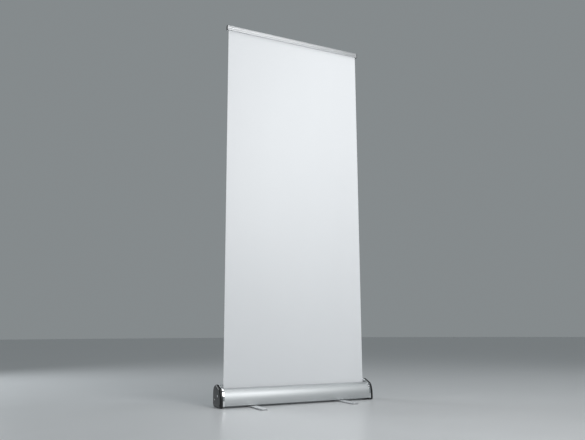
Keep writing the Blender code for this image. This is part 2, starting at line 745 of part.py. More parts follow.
def make_spring(pivot):
    """The coil between the left plug and the anchor on the rod."""
    start = -(ROLLER_END - PLUG_LENGTH) + SPRING_FREE
    end = -AXLE_START + SPRING_ROD_LENGTH - 1.5 * ANCHOR_LENGTH - SPRING_FREE
    curve = bpy.data.curves.new("torsion_spring", "CURVE")
    curve.dimensions = "3D"
    curve.bevel_depth = SPRING_WIRE
    curve.bevel_resolution = 2
    curve.use_fill_caps = True
    count = SPRING_TURNS * SPRING_POINTS + 1
    spline = curve.splines.new("POLY")
    spline.points.add(count - 1)
    for index, point in enumerate(spline.points):
        turn = math.tau * index / SPRING_POINTS
        x = start + (end - start) * index / (count - 1)
        point.co = (x, SPRING_RADIUS * math.cos(turn), SPRING_RADIUS * math.sin(turn), 1.0)
    spring = bpy.data.objects.new("torsion_spring", curve)
    finish(spring, SPRING_STEEL, pivot, (0, ROLLER_Y, ROLLER_HEIGHT))


# ---------------------------------------------------------------------------------------------------------
# Graphic
# ---------------------------------------------------------------------------------------------------------
def make_graphic(stand):
    half = GRAPHIC_WIDTH / 2
    near, far = -FILM / 2, FILM / 2
    leader, place = box("leader_strip", (-half, near, ROLLER_HEIGHT), (half, far, LEADER_TOP))
    finish(leader, GREY_PLASTIC, stand, place)
    panel, place = box("graphic_panel", (-half, near, LEADER_TOP + GAP), (half, far, GRAPHIC_TOP))
    finish(panel, WHITE_FILM, stand, place)


# ---------------------------------------------------------------------------------------------------------
# Swivel feet
# ---------------------------------------------------------------------------------------------------------
def rounded_strip(half_width, front, rear, radius):
    """A round-cornered strip along Y, from -front to rear."""
    outline = []
    corners = ((1, rear - radius), (-1, rear - radius), (-1, radius - front), (1, radius - front))
    for quarter, (x_sign, y) in enumerate(corners):
        centre = (x_sign * (half_width - radius), y)
        outline += arc(centre, (radius, radius), 90 * quarter, 90 * quarter + 90, 5)
    return outline


def make_foot(side, stand):
    x = FOOT_X[side]
    axis = (x, FOOT_PIVOT_Y, 0)
    pivot = new_pivot(f"foot_{side}_pivot", axis, stand)
    middle_height = FOOT_UNDERSIDE + FOOT_THICKNESS / 2
    shape = rounded_strip(FOOT_WIDTH / 2, FOOT_FRONT_ARM, FOOT_REAR_ARM, FOOT_CORNER)
    mesh = outline_mesh(f"foot_bar_{side}", [shape], FOOT_THICKNESS)
    smooth(mesh)
    bar = bpy.data.objects.new(f"foot_bar_{side}", mesh)
    finish(bar, ALUMINIUM, pivot, (x, FOOT_PIVOT_Y, middle_height))
    round_edges(bar, FOOT_EDGE)
    place = (x, FOOT_PIVOT_Y, FOOT_UNDERSIDE)
    bore = PIVOT_SHANK_RADIUS + RUNNING
    combine(bar, drill(f"shank_hole_{side}", bore, FOOT_THICKNESS * 4, pivot, place, "+Z"), "DIFFERENCE")
    depth = 2 * (PIVOT_HEAD_HEIGHT + 2 * GAP)
    bore = PIVOT_HEAD_RADIUS + RUNNING
    combine(bar, drill(f"head_sink_{side}", bore, depth, pivot, place, "+Z"), "DIFFERENCE")

    pad_half = FOOT_WIDTH / 2 - PAD_SIDE
    pad_shape = rounded_strip(pad_half, PAD_LENGTH / 2, PAD_LENGTH / 2, FOOT_CORNER - PAD_SIDE)
    reach = PAD_SIDE + PAD_LENGTH / 2
    for end, y in (("front", -FOOT_FRONT_ARM + reach), ("rear", FOOT_REAR_ARM - reach)):
        name = f"foot_pad_{side}_{end}"
        pad = bpy.data.objects.new(name, outline_mesh(name, [pad_shape], PAD_THICKNESS))
        finish(pad, RUBBER, pivot, (x, FOOT_PIVOT_Y + y, PAD_THICKNESS / 2))


def make_foot_fixing(side, stand):
    """Shoulder screw, spacer and nut that hold a foot under the housing."""
    x = FOOT_X[side]
    shoulder = HOUSING_BOTTOM - GAP
    head_top = FOOT_UNDERSIDE + GAP + PIVOT_HEAD_HEIGHT
    nut_foot = FLOOR_INSIDE + GAP
    thread_top = nut_foot + NUT_HEIGHT + THREAD_OVER
    profile = [
        (0, thread_top),
        (PIVOT_THREAD_RADIUS, thread_top),
        (PIVOT_THREAD_RADIUS, shoulder),
        (PIVOT_SHANK_RADIUS, shoulder),
        (PIVOT_SHANK_RADIUS, head_top),
        (PIVOT_HEAD_RADIUS, head_top),
        (PIVOT_HEAD_RADIUS, FOOT_UNDERSIDE + GAP),
        (0, FOOT_UNDERSIDE + GAP),
    ]
    place = (x, FOOT_PIVOT_Y, 0)
    finish(turned(f"foot_screw_{side}", profile, steps=20), STEEL, stand, place)
    bore = PIVOT_SHANK_RADIUS + RUNNING
    spacer = ring(f"foot_spacer_{side}", SPACER_RADIUS, bore, FOOT_TOP + GAP, shoulder, 24)
    finish(spacer, BLACK_PLASTIC, stand, place)
    bore = PIVOT_THREAD_RADIUS + RUNNING
    nut = ring(f"foot_nut_{side}", NUT_RADIUS, bore, nut_foot, nut_foot + NUT_HEIGHT, 6)
    finish(nut, STEEL, stand, place)


# ---------------------------------------------------------------------------------------------------------
# Pole
# ---------------------------------------------------------------------------------------------------------
def make_pole_socket(stand):
    place = (0, POLE_Y, 0)
    flange = SOCKET_RADIUS + SOCKET_FLANGE
    foot = SOCKET_TOP - SOCKET_DEPTH
    profile = [
        (SOCKET_RADIUS - SOCKET_CHAMFER, SOCKET_TOP),
        (SOCKET_RADIUS, SOCKET_TOP - SOCKET_CHAMFER),
        (SOCKET_RADIUS, foot + SOCKET_FLANGE),
        (flange, foot + SOCKET_FLANGE),
        (flange, foot),
        (SOCKET_BORE, foot),
        (SOCKET_BORE, SOCKET_TOP),
    ]
    finish(turned("pole_socket", profile, closed=True), BLACK_PLASTIC, stand, place)
    bottom = FLOOR_INSIDE + GAP
    outer = SOCKET_BORE + SEAT_WALL
    seat = [
        (0, SEAT_FLOOR),
        (SOCKET_BORE, SEAT_FLOOR),
        (SOCKET_BORE, bottom + SEAT_HEIGHT),
        (outer, bottom + SEAT_HEIGHT),
        (outer, bottom),
        (0, bottom),
    ]
    finish(turned("pole_seat", seat), BLACK_PLASTIC, stand, place)


def make_plug(name, towards, height, pivot):
    """A push-in plug with a hole for the cord: its head outside the tube, its spigot inside."""
    hole = BUNGEE_RADIUS + RUNNING
    spigot = POLE_BORE - GAP
    edge = PLUG_HEAD * 0.35
    profile = [
        (POLE_RADIUS - edge, PLUG_HEAD),
        (POLE_RADIUS, PLUG_HEAD - edge),
        (POLE_RADIUS, 0),
        (spigot, 0),
        (spigot, -PLUG_SPIGOT),
        (hole, -PLUG_SPIGOT),
        (hole, PLUG_HEAD),
    ]
    plug = turned(name, profile, closed=True, steps=24, towards=towards)
    finish(plug, BLACK_PLASTIC, pivot, (0, POLE_Y, height))


def make_ferrule(name, joint_height, pivot):
    outer = POLE_BORE - GAP
    ferrule = ring(name, outer, outer - FERRULE_WALL, -FERRULE_BELOW, FERRULE_ABOVE, steps=24)
    finish(ferrule, STEEL, pivot, (0, POLE_Y, joint_height))


def make_pole(stand):
    names = ("lower", "middle", "upper")
    pivot = stand
    foot = POLE_FOOT
    for index, name in enumerate(names):
        pivot = new_pivot(f"pole_{name}_slide", (0, POLE_Y, foot), pivot)
        tube = ring(f"pole_tube_{name}", POLE_RADIUS, POLE_BORE, 0, SECTION)
        finish(tube, ALUMINIUM, pivot, (0, POLE_Y, foot))
        if index == 0:
            make_plug("pole_foot_plug", "-Z", foot - GAP, pivot)
            make_bungee(pivot)
        if index < len(names) - 1:
            make_ferrule(f"ferrule_{name}", foot + SECTION, pivot)
        else:
            make_plug("pole_top_plug", "+Z", foot + SECTION + GAP, pivot)
        foot += SECTION + GAP


def make_bungee(pivot):
    """The elastic cord that keeps the three tubes together, inside them from plug to plug."""
    low = POLE_FOOT - PLUG_HEAD + BUNGEE_SLACK
    high = POLE_TOP + PLUG_HEAD - BUNGEE_SLACK
    curve = bpy.data.curves.new("bungee_cord", "CURVE")
    curve.dimensions = "3D"
    curve.bevel_depth = BUNGEE_RADIUS
    curve.bevel_resolution = 2
    curve.use_fill_caps = True
    spline = curve.splines.new("POLY")
    spline.points.add(POLE_SECTIONS)
    for index, point in enumerate(spline.points):
        point.co = (0, 0, low + (high - low) * index / POLE_SECTIONS, 1.0)
    cord = bpy.data.objects.new("bungee_cord", curve)
    finish(cord, ELASTIC, pivot, (0, POLE_Y, 0))


# ---------------------------------------------------------------------------------------------------------
# Rail
# ---------------------------------------------------------------------------------------------------------
def rail_back_section():
    """The rail's fixed half: a back wall, a clamping rib and a top that hooks round the jaw's bead."""
    back, wall, base, top = RAIL_HALF_DEPTH, RAIL_WALL, RAIL_UNDERSIDE, STAND_HEIGHT
    seat = RAIL_BEAD_RADIUS + GAP
    hook = arc(RAIL_HINGE, (seat, seat), 95, -60, 8)
    heel = (RAIL_HINGE[0] + seat + RAIL_HEEL[0], RAIL_HINGE[1] - seat - RAIL_HEEL[1])
    return [
        (back, base),
        (back, top - RAIL_TOP_EDGE),
        (back - RAIL_TOP_EDGE, top),
        (hook[0][0], top),
        *hook,
        heel,
        (back - wall, heel[1]),
        (back - wall, base + RAIL_RIB_HIGH),
        (RAIL_RIB_FREE, base + RAIL_RIB_HIGH - RAIL_RIB_DRAFT),
        (RAIL_RIB_FREE, base + RAIL_RIB_LOW),
        (back - wall, base + RAIL_RIB_LOW),
        (back - wall, base),
    ]


def rail_jaw_section():
    """The rail's hinged half: the front face with its groove, the bead and the clamping rib."""
    front, wall, base = -RAIL_HALF_DEPTH, RAIL_WALL, RAIL_UNDERSIDE
    top = STAND_HEIGHT - RAIL_JAW_SINK
    inside = front + wall
    web = RAIL_BEAD_RADIUS * 0.55
    bead = arc(RAIL_HINGE, (RAIL_BEAD_RADIUS, RAIL_BEAD_RADIUS), 146.6, -146.6, 12)
    groove = base + RAIL_GROOVE_HEIGHT
    return [
        (front, base),
        (inside, base),
        (inside, base + RAIL_RIB_LOW),
        (-RAIL_RIB_FREE, base + RAIL_RIB_LOW),
        (-RAIL_RIB_FREE, base + RAIL_RIB_HIGH - RAIL_RIB_DRAFT),
        (inside, base + RAIL_RIB_HIGH),
        (inside, RAIL_HINGE[1] - web),
        *bead[::-1],
        (inside, RAIL_HINGE[1] + web),
        (inside, top),
        (front + RAIL_JAW_EDGE, top),
        (front, top - RAIL_JAW_EDGE),
        (front, groove + RAIL_GROOVE_HALF),
        (front + RAIL_GROOVE_DEPTH, groove + RAIL_GROOVE_HALF / 2),
        (front + RAIL_GROOVE_DEPTH, groove - RAIL_GROOVE_HALF / 2),
        (front, groove - RAIL_GROOVE_HALF),
    ]


def make_rail(stand):
    pivot = new_pivot("rail_slide", (0, 0, RAIL_UNDERSIDE), stand)
    half = RAIL_LENGTH / 2
    back, place = prism("rail_back", [rail_back_section()], -half, half)
    finish(back, ALUMINIUM, pivot, place)
    bore = CLIP_SCREW_RADIUS + RUNNING
    for side, sign in SIDES.items():
        place = (sign * CLIP_SCREW_X, RAIL_HALF_DEPTH, clip_middle())
        hole = drill(f"clip_screw_hole_{side}", bore, RAIL_WALL * 3, pivot, place, "+Y", 12)
        combine(back, hole, "DIFFERENCE")

    hinge = new_pivot("rail_hinge", (0, *RAIL_HINGE), pivot)
    jaw, place = prism("rail_jaw", [rail_jaw_section()], -half, half)
    finish(jaw, ALUMINIUM, hinge, place)
    for side, sign in SIDES.items():
        make_rail_cap(side, sign, pivot)
    make_clip(pivot)


def make_rail_cap(side, sign, pivot):
    """A push-in plate over the rail's end, with a peg behind the graphic."""
    start = RAIL_LENGTH / 2 + GAP
    depth = RAIL_HALF_DEPTH + RAIL_CAP_PROUD
    low, high = RAIL_UNDERSIDE - RAIL_CAP_PROUD, STAND_HEIGHT
    edge = RAIL_CAP_CORNER
    shape = []
    for y, z, turn in ((depth, high, 0), (-depth, high, 90), (-depth, low, 180), (depth, low, 270)):
        centre = (y - math.copysign(edge, y), z - edge if z == high else z + edge)
        shape += arc(centre, (edge, edge), turn, turn + 90, 3)
    name = f"rail_cap_{side}"
    cap, place = prism(name, [shape], sign * start, sign * (start + RAIL_CAP_THICKNESS))
    finish(cap, BLACK_PLASTIC, pivot, place)
    beside, above, below = RAIL_PEG_FREE
    peg_low = (RAIL_RIB_FREE + beside, RAIL_UNDERSIDE + RAIL_RIB_HIGH + above)
    peg_high = (RAIL_HALF_DEPTH - RAIL_WALL - GAP, RAIL_HINGE[1] - RAIL_BEAD_RADIUS - below)
    inner, outer = start - RAIL_PEG_LENGTH, start + RAIL_CAP_THICKNESS / 2
    ends = sorted((sign * inner, sign * outer))
    peg, place = box(f"rail_peg_{side}", (ends[0], *peg_low), (ends[1], *peg_high))
    combine(cap, as_tool(peg, pivot, place), "UNION")


def clip_middle():
    return RAIL_UNDERSIDE + (CLIP_LOW + CLIP_HIGH) / 2


def make_clip(pivot):
    """The spring clip on the rail's back: a plate, and a C open to the rear that grips the pole."""
    inner = POLE_RADIUS + RUNNING
    outer = inner + CLIP_WALL
    start, end = 90 + CLIP_MOUTH, 450 - CLIP_MOUTH
    height = CLIP_HIGH - CLIP_LOW
    outside = arc((0, POLE_Y), (outer, outer), start, end, 20)
    inside = arc((0, POLE_Y), (inner, inner), start, end, 20)
    mesh = outline_mesh("pole_clip", [outside + inside[::-1]], height)
    smooth(mesh)
    clip = bpy.data.objects.new("pole_clip", mesh)
    middle = (0, 0, clip_middle())
    finish(clip, BLACK_PLASTIC, pivot, middle)
    near = RAIL_HALF_DEPTH + GAP
    low = (-CLIP_PLATE_HALF, near, RAIL_UNDERSIDE + CLIP_LOW)
    plate, place = box("clip_plate", low, (CLIP_PLATE_HALF, near + CLIP_PLATE, RAIL_UNDERSIDE + CLIP_HIGH))
    combine(clip, as_tool(plate, pivot, place), "UNION")
    pole_room = drill("clip_pole_room", inner, height * 2, pivot, (0, POLE_Y, clip_middle()), "+Z", ROUND)
    combine(clip, pole_room, "DIFFERENCE")
    bore = CLIP_SCREW_RADIUS + RUNNING
    length = CLIP_PLATE + GAP + RAIL_WALL
    head = (CLIP_SCREW_HEAD, CLIP_SCREW_HEAD * 0.6)
    for side, sign in SIDES.items():
        place = (sign * CLIP_SCREW_X, near + CLIP_PLATE + GAP, clip_middle())
        hole = drill(f"clip_hole_{side}", bore, CLIP_PLATE * 4, pivot, place, "+Y", 12)
        combine(clip, hole, "DIFFERENCE")
        made = screw(f"clip_screw_{side}", CLIP_SCREW_RADIUS, length, *head, "+Y")
        finish(made, STEEL, pivot, place)


# ---------------------------------------------------------------------------------------------------------
# Assembly
# ---------------------------------------------------------------------------------------------------------
def build():
    stand = new_pivot("stand", (0, 0, 0))
    stand.location = (0, GRAPHIC_Y, 0)
    make_housing(stand)
    make_brushes(stand)
    for side, sign in SIDES.items():
        make_trim(side, sign, stand)
        make_cap(side, sign, stand)
        make_cap_screws(side, sign, stand)
        make_foot(side, stand)
        make_foot_fixing(side, stand)
    make_lock_pin(stand)
    make_spring_motor(stand)
    make_roller(stand)
    make_graphic(stand)
    make_pole_socket(stand)
    make_pole(stand)
    make_rail(stand)
    bpy.context.view_layer.update()


build()
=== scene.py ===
"""Roll-up banner stand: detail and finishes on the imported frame, in a plain studio."""

from __future__ import annotations

import json
import logging
import math
from dataclasses import dataclass
from enum import Enum
from typing import Any, Sequence

import bmesh
import bpy
from mathutils import Matrix, Vector, noise


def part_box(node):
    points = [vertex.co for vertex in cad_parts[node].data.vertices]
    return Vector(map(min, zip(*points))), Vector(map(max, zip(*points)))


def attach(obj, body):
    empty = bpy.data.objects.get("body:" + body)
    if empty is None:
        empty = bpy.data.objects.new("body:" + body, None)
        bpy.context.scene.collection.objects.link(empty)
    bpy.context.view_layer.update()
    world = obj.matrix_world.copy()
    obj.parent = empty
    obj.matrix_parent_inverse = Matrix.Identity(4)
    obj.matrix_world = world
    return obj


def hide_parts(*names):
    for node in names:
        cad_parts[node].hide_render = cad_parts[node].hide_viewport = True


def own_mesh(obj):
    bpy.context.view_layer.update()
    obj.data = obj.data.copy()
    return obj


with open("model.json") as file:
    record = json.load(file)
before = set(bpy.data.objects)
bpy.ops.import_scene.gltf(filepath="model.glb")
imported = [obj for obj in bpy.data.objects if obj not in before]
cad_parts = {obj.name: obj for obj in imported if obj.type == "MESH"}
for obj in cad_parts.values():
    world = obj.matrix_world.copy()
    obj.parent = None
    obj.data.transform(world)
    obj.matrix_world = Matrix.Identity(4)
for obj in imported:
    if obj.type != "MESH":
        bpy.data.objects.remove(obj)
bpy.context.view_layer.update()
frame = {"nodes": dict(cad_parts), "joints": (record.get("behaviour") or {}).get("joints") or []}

LOG = logging.getLogger("banner_stand")

Pair = tuple[float, float]
Triple = tuple[float, float, float]

SIDES = {"left": -1, "right": 1}
CAP_SCREWS = (1, 2, 3)
FINE_EDGE, EDGE, SOFT_EDGE, CAP_EDGE = 0.0002, 0.0003, 0.0004, 0.0006
HARD_TURN, HEAD_TURN, WIRE_TURN, EASED_TURN = 32.0, 28.0, 80.0, 50.0
SPIN_WELD, COPY_WELD, FLAT_TURN = 0.000001, 0.000002, 0.4


# Shader maths
class Signal:
    """A shader number that can stand in a Python expression."""

    def __init__(self, shader: "Shader", socket: bpy.types.NodeSocket) -> None:
        """Wraps an output socket.

        Args:
            shader: The shader that owns the socket.
            socket: The output that carries the number.
        """
        self.shader = shader
        self.socket = socket

    def _maths(self, operation: str, *terms: Any) -> "Signal":
        """Adds one Math node and returns its output."""
        inputs = dict(enumerate(terms))
        return self.shader.node("ShaderNodeMath", {"operation": operation}, inputs)

    def __add__(self, other: Any) -> "Signal":
        """self + other."""
        return self._maths("ADD", self, other)

    def __radd__(self, other: Any) -> "Signal":
        """other + self."""
        return self._maths("ADD", other, self)

    def __sub__(self, other: Any) -> "Signal":
        """self - other."""
        return self._maths("SUBTRACT", self, other)

    def __rsub__(self, other: Any) -> "Signal":
        """other - self."""
        return self._maths("SUBTRACT", other, self)

    def __mul__(self, other: Any) -> "Signal":
        """self * other."""
        return self._maths("MULTIPLY", self, other)

    def sine(self) -> "Signal":
        """The sine of the number, in radians."""
        return self._maths("SINE", self)

    def between(self, low: float, high: float) -> "Signal":
        """0 below low, 1 above high and smooth between them.

        Args:
            low: Where the step starts.
            high: Where it ends.

        Returns:
            The stepped number.
        """
        settings = {"interpolation_type": "SMOOTHSTEP"}
        inputs = {"Value": self, "From Min": low, "From Max": high}
        return self.shader.node("ShaderNodeMapRange", settings, inputs)


class Shader:
    """A material's node tree round one Principled shader."""

    def __init__(self, name: str, colour: Triple, roughness: float, metallic: float) -> None:
        """Makes the material with its plain values.

        Args:
            name: The material's name.
            colour: Base colour, linear.
            roughness: Roughness of the whole surface.
            metallic: 1 for a metal.
        """
        self.material = bpy.data.materials.new(name)
        self.material.use_nodes = True
        self.material.diffuse_color = (*colour, 1.0)
        self.tree = self.material.node_tree
        self.surface = self.tree.nodes["Principled BSDF"]
        self.set("Base Color", (*colour, 1.0))
        self.set("Roughness", roughness)
        self.set("Metallic", metallic)
        self.place = self.node("ShaderNodeTexCoord", {}, {}, "Object")

    def node(
        self, kind: str, settings: dict[str, Any], inputs: dict[Any, Any], output: Any = 0
    ) -> Signal:
        """Adds a node.

        Args:
            kind: The node's type.
            settings: Its own settings, or the stops of a ramp, set before its sockets.
            inputs: Values or signals by socket name or number.
            output: The output to return.

        Returns:
            The chosen output as a signal.
        """
        made = self.tree.nodes.new(kind)
        for key, value in settings.items():
            if key == "stops":
                self._set_stops(made.color_ramp, value)
            else:
                setattr(made, key, value)
        for key, value in inputs.items():
            self._feed(made.inputs[key], value)
        return Signal(self, made.outputs[output])

    def _set_stops(self, ramp: bpy.types.ColorRamp, stops: Sequence[tuple[float, Triple]]) -> None:
        """Writes the stops of a colour ramp.

        Args:
            ramp: The ramp.
            stops: Positions with their colours.
        """
        while len(ramp.elements) < len(stops):
            ramp.elements.new(0.5)
        for element, (position, colour) in zip(ramp.elements, stops):
            element.position = position
            element.color = (*colour, 1.0)

    def _feed(self, socket: bpy.types.NodeSocket, value: Any) -> None:
        """Links a signal to a socket, or sets a plain value on it.

        Args:
            socket: The input.
            value: A signal or a plain value.
        """
        if isinstance(value, Signal):
            self.tree.links.new(value.socket, socket)
        else:
            socket.default_value = value

    def set(self, name: str, value: Any) -> None:
        """Feeds or sets an input of the surface."""
        self._feed(self.surface.inputs[name], value)

    def stretched(self, scale: Triple, turn: Triple = (0.0, 0.0, 0.0)) -> Signal:
        """Object coordinates drawn out or packed together along each axis.

        Args:
            scale: Pattern units per metre along X, Y and Z.
            turn: Rotation of the pattern in radians.

        Returns:
            The scaled coordinates.
        """
        inputs = {"Vector": self.place, "Scale": scale, "Rotation": turn}
        return self.node("ShaderNodeMapping", {}, inputs)

    def clouds(
        self, where: Signal, scale: float, detail: float = 2.0, rough: float = 0.5
    ) -> Signal:
        """Noise from 0 to 1.

        Args:
            where: The coordinates it reads.
            scale: Its fineness.
            detail: Octaves.
            rough: How strong the finer octaves are.

        Returns:
            The noise value.
        """
        inputs = {"Vector": where, "Scale": scale, "Detail": detail, "Roughness": rough}
        return self.node("ShaderNodeTexNoise", {}, inputs)

    def blend(self, share: Signal, low: Triple, high: Triple) -> Signal:
        """A colour between two others.

        Args:
            share: 0 for the first colour, 1 for the second.
            low: The first colour.
            high: The second colour.

        Returns:
            The mixed colour.
        """
        settings = {"data_type": "RGBA"}
        inputs = {0: share, 6: (*low, 1.0), 7: (*high, 1.0)}
        return self.node("ShaderNodeMix", settings, inputs, 2)

    def raise_by(self, height: Signal, distance: float, strength: float = 1.0) -> None:
        """Bumps the surface.

        Args:
            height: The relief, from 0 to 1.
            distance: What 1 stands for, in metres.
            strength: Share of the relief that shows.
        """
        inputs = {"Height": height, "Distance": distance, "Strength": strength}
        self.set("Normal", self.node("ShaderNodeBump", {}, inputs))


def shade_of(colour: Triple, share: float) -> Triple:
    """A colour made darker or lighter by a share."""
    return tuple(channel * share for channel in colour)


# Finishes
class Slot(Enum):
    """Material slots of the record."""

    ALUMINIUM = "satin_aluminium"
    CHROME = "chrome_trim"
    BLACK_PLASTIC = "black_plastic"
    GREY_PLASTIC = "grey_plastic"
    ZINC = "zinc_steel"
    BLACK_STEEL = "black_steel"
    SPRING = "spring_steel"
    FILM = "white_film"
    PILE = "brush_pile"
    RUBBER = "rubber"
    CORD = "elastic_cord"


class Grain(Enum):
    """Direction of the drawing lines on a metal, as pattern units per metre on X, Y and Z."""

    ALONG_X = (5.0, 900.0, 900.0)
    ALONG_Y = (900.0, 8.0, 900.0)
    ALONG_Z = (900.0, 900.0, 5.0)


@dataclass(frozen=True)
class Finish:
    """What every finish has, and how it becomes a material."""

    name: str
    slot: Slot
    colour: Triple
    roughness: float
    metallic: float = 0.0

    def material(self) -> bpy.types.Material:
        """The finish's material, made at its first use."""
        made = bpy.data.materials.get(self.name)
        if made is None:
            shader = Shader(self.name, self.colour, self.roughness, self.metallic)
            self.detail(shader)
            made = shader.material
        return made

    def detail(self, shader: Shader) -> None:
        """Adds what varies over the surface; the plain finish has nothing."""


@dataclass(frozen=True)
class DrawnAluminium(Finish):
    """Satin anodised extrusion or bar with fine lines along its length."""

    grain: Grain = Grain.ALONG_X
    scuffs: float = 0.0
    relief: float = 0.00003

    def detail(self, shader: Shader) -> None:
        """Die lines, a slow drift in the anodising, and scuffs on pieces that are trodden on."""
        lines = shader.clouds(shader.stretched(self.grain.value), 1.0, 4.0, 0.65)
        drift = shader.clouds(shader.place, 7.0, 2.0)
        rough = self.roughness + (lines - 0.5) * 0.16 + (drift - 0.5) * 0.08
        colour = shader.blend(drift, shade_of(self.colour, 0.95), self.colour)
        height = lines
        if self.scuffs:
            turned = shader.stretched((55.0, 420.0, 55.0), (0.0, 0.0, 0.5))
            marks = shader.clouds(turned, 1.0, 5.0, 0.7).between(0.62, 0.72) * self.scuffs
            rough = rough + marks * 0.25
            height = height - marks * 0.6
        shader.set("Roughness", rough)
        shader.set("Base Color", colour)
        shader.raise_by(height, self.relief)


@dataclass(frozen=True)
class BrightPlate(Finish):
    """Chrome plating with hairline wipe marks."""

    def detail(self, shader: Shader) -> None:
        """Faint wipe marks in the gloss."""
        wipes = shader.clouds(shader.stretched((30.0, 700.0, 160.0)), 1.0, 3.0)
        shader.set("Roughness", self.roughness + wipes.between(0.55, 0.8) * 0.10)
        shader.raise_by(shader.clouds(shader.place, 60.0), 0.00003, 0.5)


@dataclass(frozen=True)
class MouldedPlastic(Finish):
    """Injection-moulded plastic with a spark-eroded texture."""

    texture: float = 1500.0

    def detail(self, shader: Shader) -> None:
        """Texture grains, and gloss that varies where hands have been."""
        grains = shader.clouds(shader.place, self.texture, 2.0, 0.6)
        handled = shader.clouds(shader.place, 26.0, 3.0)
        shader.set("Roughness", self.roughness + (handled - 0.5) * 0.16 + (grains - 0.5) * 0.10)
        shader.set("Base Color", shader.blend(handled, shade_of(self.colour, 0.82), self.colour))
        shader.raise_by(grains, 0.00006)


@dataclass(frozen=True)
class PlatedSteel(Finish):
    """Turned or pressed steel, plated or blackened."""

    tint: Triple = (0.70, 0.66, 0.58)

    def detail(self, shader: Shader) -> None:
        """Plating that drifts towards its tint, and a crystalline gloss."""
        patches = shader.clouds(shader.place, 240.0, 3.0)
        fine = shader.clouds(shader.place, 2600.0, 2.0)
        shader.set("Base Color", shader.blend(patches.between(0.45, 0.85), self.colour, self.tint))
        shader.set("Roughness", self.roughness + (patches - 0.5) * 0.18 + (fine - 0.5) * 0.10)
        shader.raise_by(fine, 0.00002)


@dataclass(frozen=True)
class PrintFilm(Finish):
    """Matt printable film: a smooth tooth that takes ink, with a slow unevenness."""

    tooth: float = 1.0

    def detail(self, shader: Shader) -> None:
        """The coating's tooth and the slight waviness that tension leaves in the film."""
        tooth = shader.clouds(shader.place, 2200.0, 2.0, 0.6)
        waves = shader.clouds(shader.stretched((5.0, 1.0, 1.3)), 1.0, 1.0)
        shader.set("Base Color", shader.blend(waves, shade_of(self.colour, 0.975), self.colour))
        shader.set("Roughness", self.roughness + (tooth - 0.5) * 0.12)
        shader.raise_by(waves * 24.0 + tooth * self.tooth, 0.00003)


@dataclass(frozen=True)
class Pile(Finish):
    """Short dense brush pile."""

    def detail(self, shader: Shader) -> None:
        """Single hairs as upright streaks, lighter at random."""
        hairs = shader.clouds(shader.stretched((2600.0, 2600.0, 120.0)), 1.0, 3.0, 0.7)
        dark, pale = shade_of(self.colour, 0.4), shade_of(self.colour, 2.4)
        shader.set("Base Color", shader.blend(hairs, dark, pale))
        shader.set("Sheen Weight", 0.35)
        shader.raise_by(hairs, 0.0003)


@dataclass(frozen=True)
class RibbedRubber(Finish):
    """Soft rubber with fine ribs across it and dust in them."""

    rib: float = 0.0022

    def detail(self, shader: Shader) -> None:
        """Ribs along X, with paler dust in the hollows."""
        along = shader.node("ShaderNodeSeparateXYZ", {}, {0: shader.place}, 1)
        ribs = (along * (math.tau / self.rib)).sine() * 0.5 + 0.5
        dust = shader.clouds(shader.place, 160.0, 4.0) * (1 - ribs)
        shader.set("Base Color", shader.blend(dust, self.colour, shade_of(self.colour, 4.0)))
        shader.raise_by(ribs, 0.0002)


@dataclass(frozen=True)
class BraidedCord(Finish):
    """Elastic cord in a woven sleeve, with its axis upright."""

    axis: Pair = (0.0, 0.0)
    pitch: float = 0.0035
    strands: int = 4

    def detail(self, shader: Shader) -> None:
        """Two crossing sets of strands, and a pale tracer thread."""
        inputs = {"Vector": shader.place, "Location": (-self.axis[0], -self.axis[1], 0.0)}
        centred = shader.node("ShaderNodeMapping", {}, inputs)
        parts = [shader.node("ShaderNodeSeparateXYZ", {}, {0: centred}, n) for n in range(3)]
        x, y, z = parts
        angle = shader.node("ShaderNodeMath", {"operation": "ARCTAN2"}, {0: y, 1: x})
        rise = z * (math.tau / self.pitch)
        over = (rise + angle * self.strands).sine()
        under = (rise - angle * self.strands).sine()
        weave = (over * under) * 0.5 + 0.5
        tracer = (rise * 0.25 + angle).sine().between(0.93, 0.98)
        dark, pale = shade_of(self.colour, 0.5), shade_of(self.colour, 2.0)
        shader.set("Base Color", shader.blend(weave * 0.7 + tracer * 0.3, dark, pale))
        shader.raise_by(weave, 0.0002)


ALUMINIUM_COLOUR = (0.80, 0.815, 0.825)
EXTRUSION = DrawnAluminium("aluminium_extrusion", Slot.ALUMINIUM, (0.62, 0.64, 0.65), 0.50, 1.0)
RAIL_METAL = DrawnAluminium(
    "aluminium_rail", Slot.ALUMINIUM, (0.62, 0.63, 0.64), 0.46, 1.0, relief=0.00001
)
FOOT_METAL = DrawnAluminium(
    "aluminium_foot", Slot.ALUMINIUM, (0.78, 0.79, 0.80), 0.42, 1.0, Grain.ALONG_Y, 0.8
)
TUBE_METAL = DrawnAluminium(
    "aluminium_tube", Slot.ALUMINIUM, ALUMINIUM_COLOUR, 0.33, 1.0, Grain.ALONG_Z, 0.0, 0.000006
)
CHROME = BrightPlate("bright_plate", Slot.CHROME, (0.88, 0.89, 0.90), 0.07, 1.0)
CAP_PLASTIC = MouldedPlastic("cap_plastic", Slot.BLACK_PLASTIC, (0.010, 0.0105, 0.0115), 0.34)
FITTING_PLASTIC = MouldedPlastic("fitting_plastic", Slot.BLACK_PLASTIC, (0.028, 0.029, 0.032), 0.44)
CORE_PLASTIC = MouldedPlastic("core_plastic", Slot.GREY_PLASTIC, (0.22, 0.23, 0.24), 0.50)
ZINC = PlatedSteel("zinc_plate", Slot.ZINC, (0.62, 0.63, 0.65), 0.26, 1.0)
BLACKENED = PlatedSteel(
    "blackened_steel", Slot.BLACK_STEEL, (0.035, 0.036, 0.040), 0.36, 0.6, (0.07, 0.065, 0.06)
)
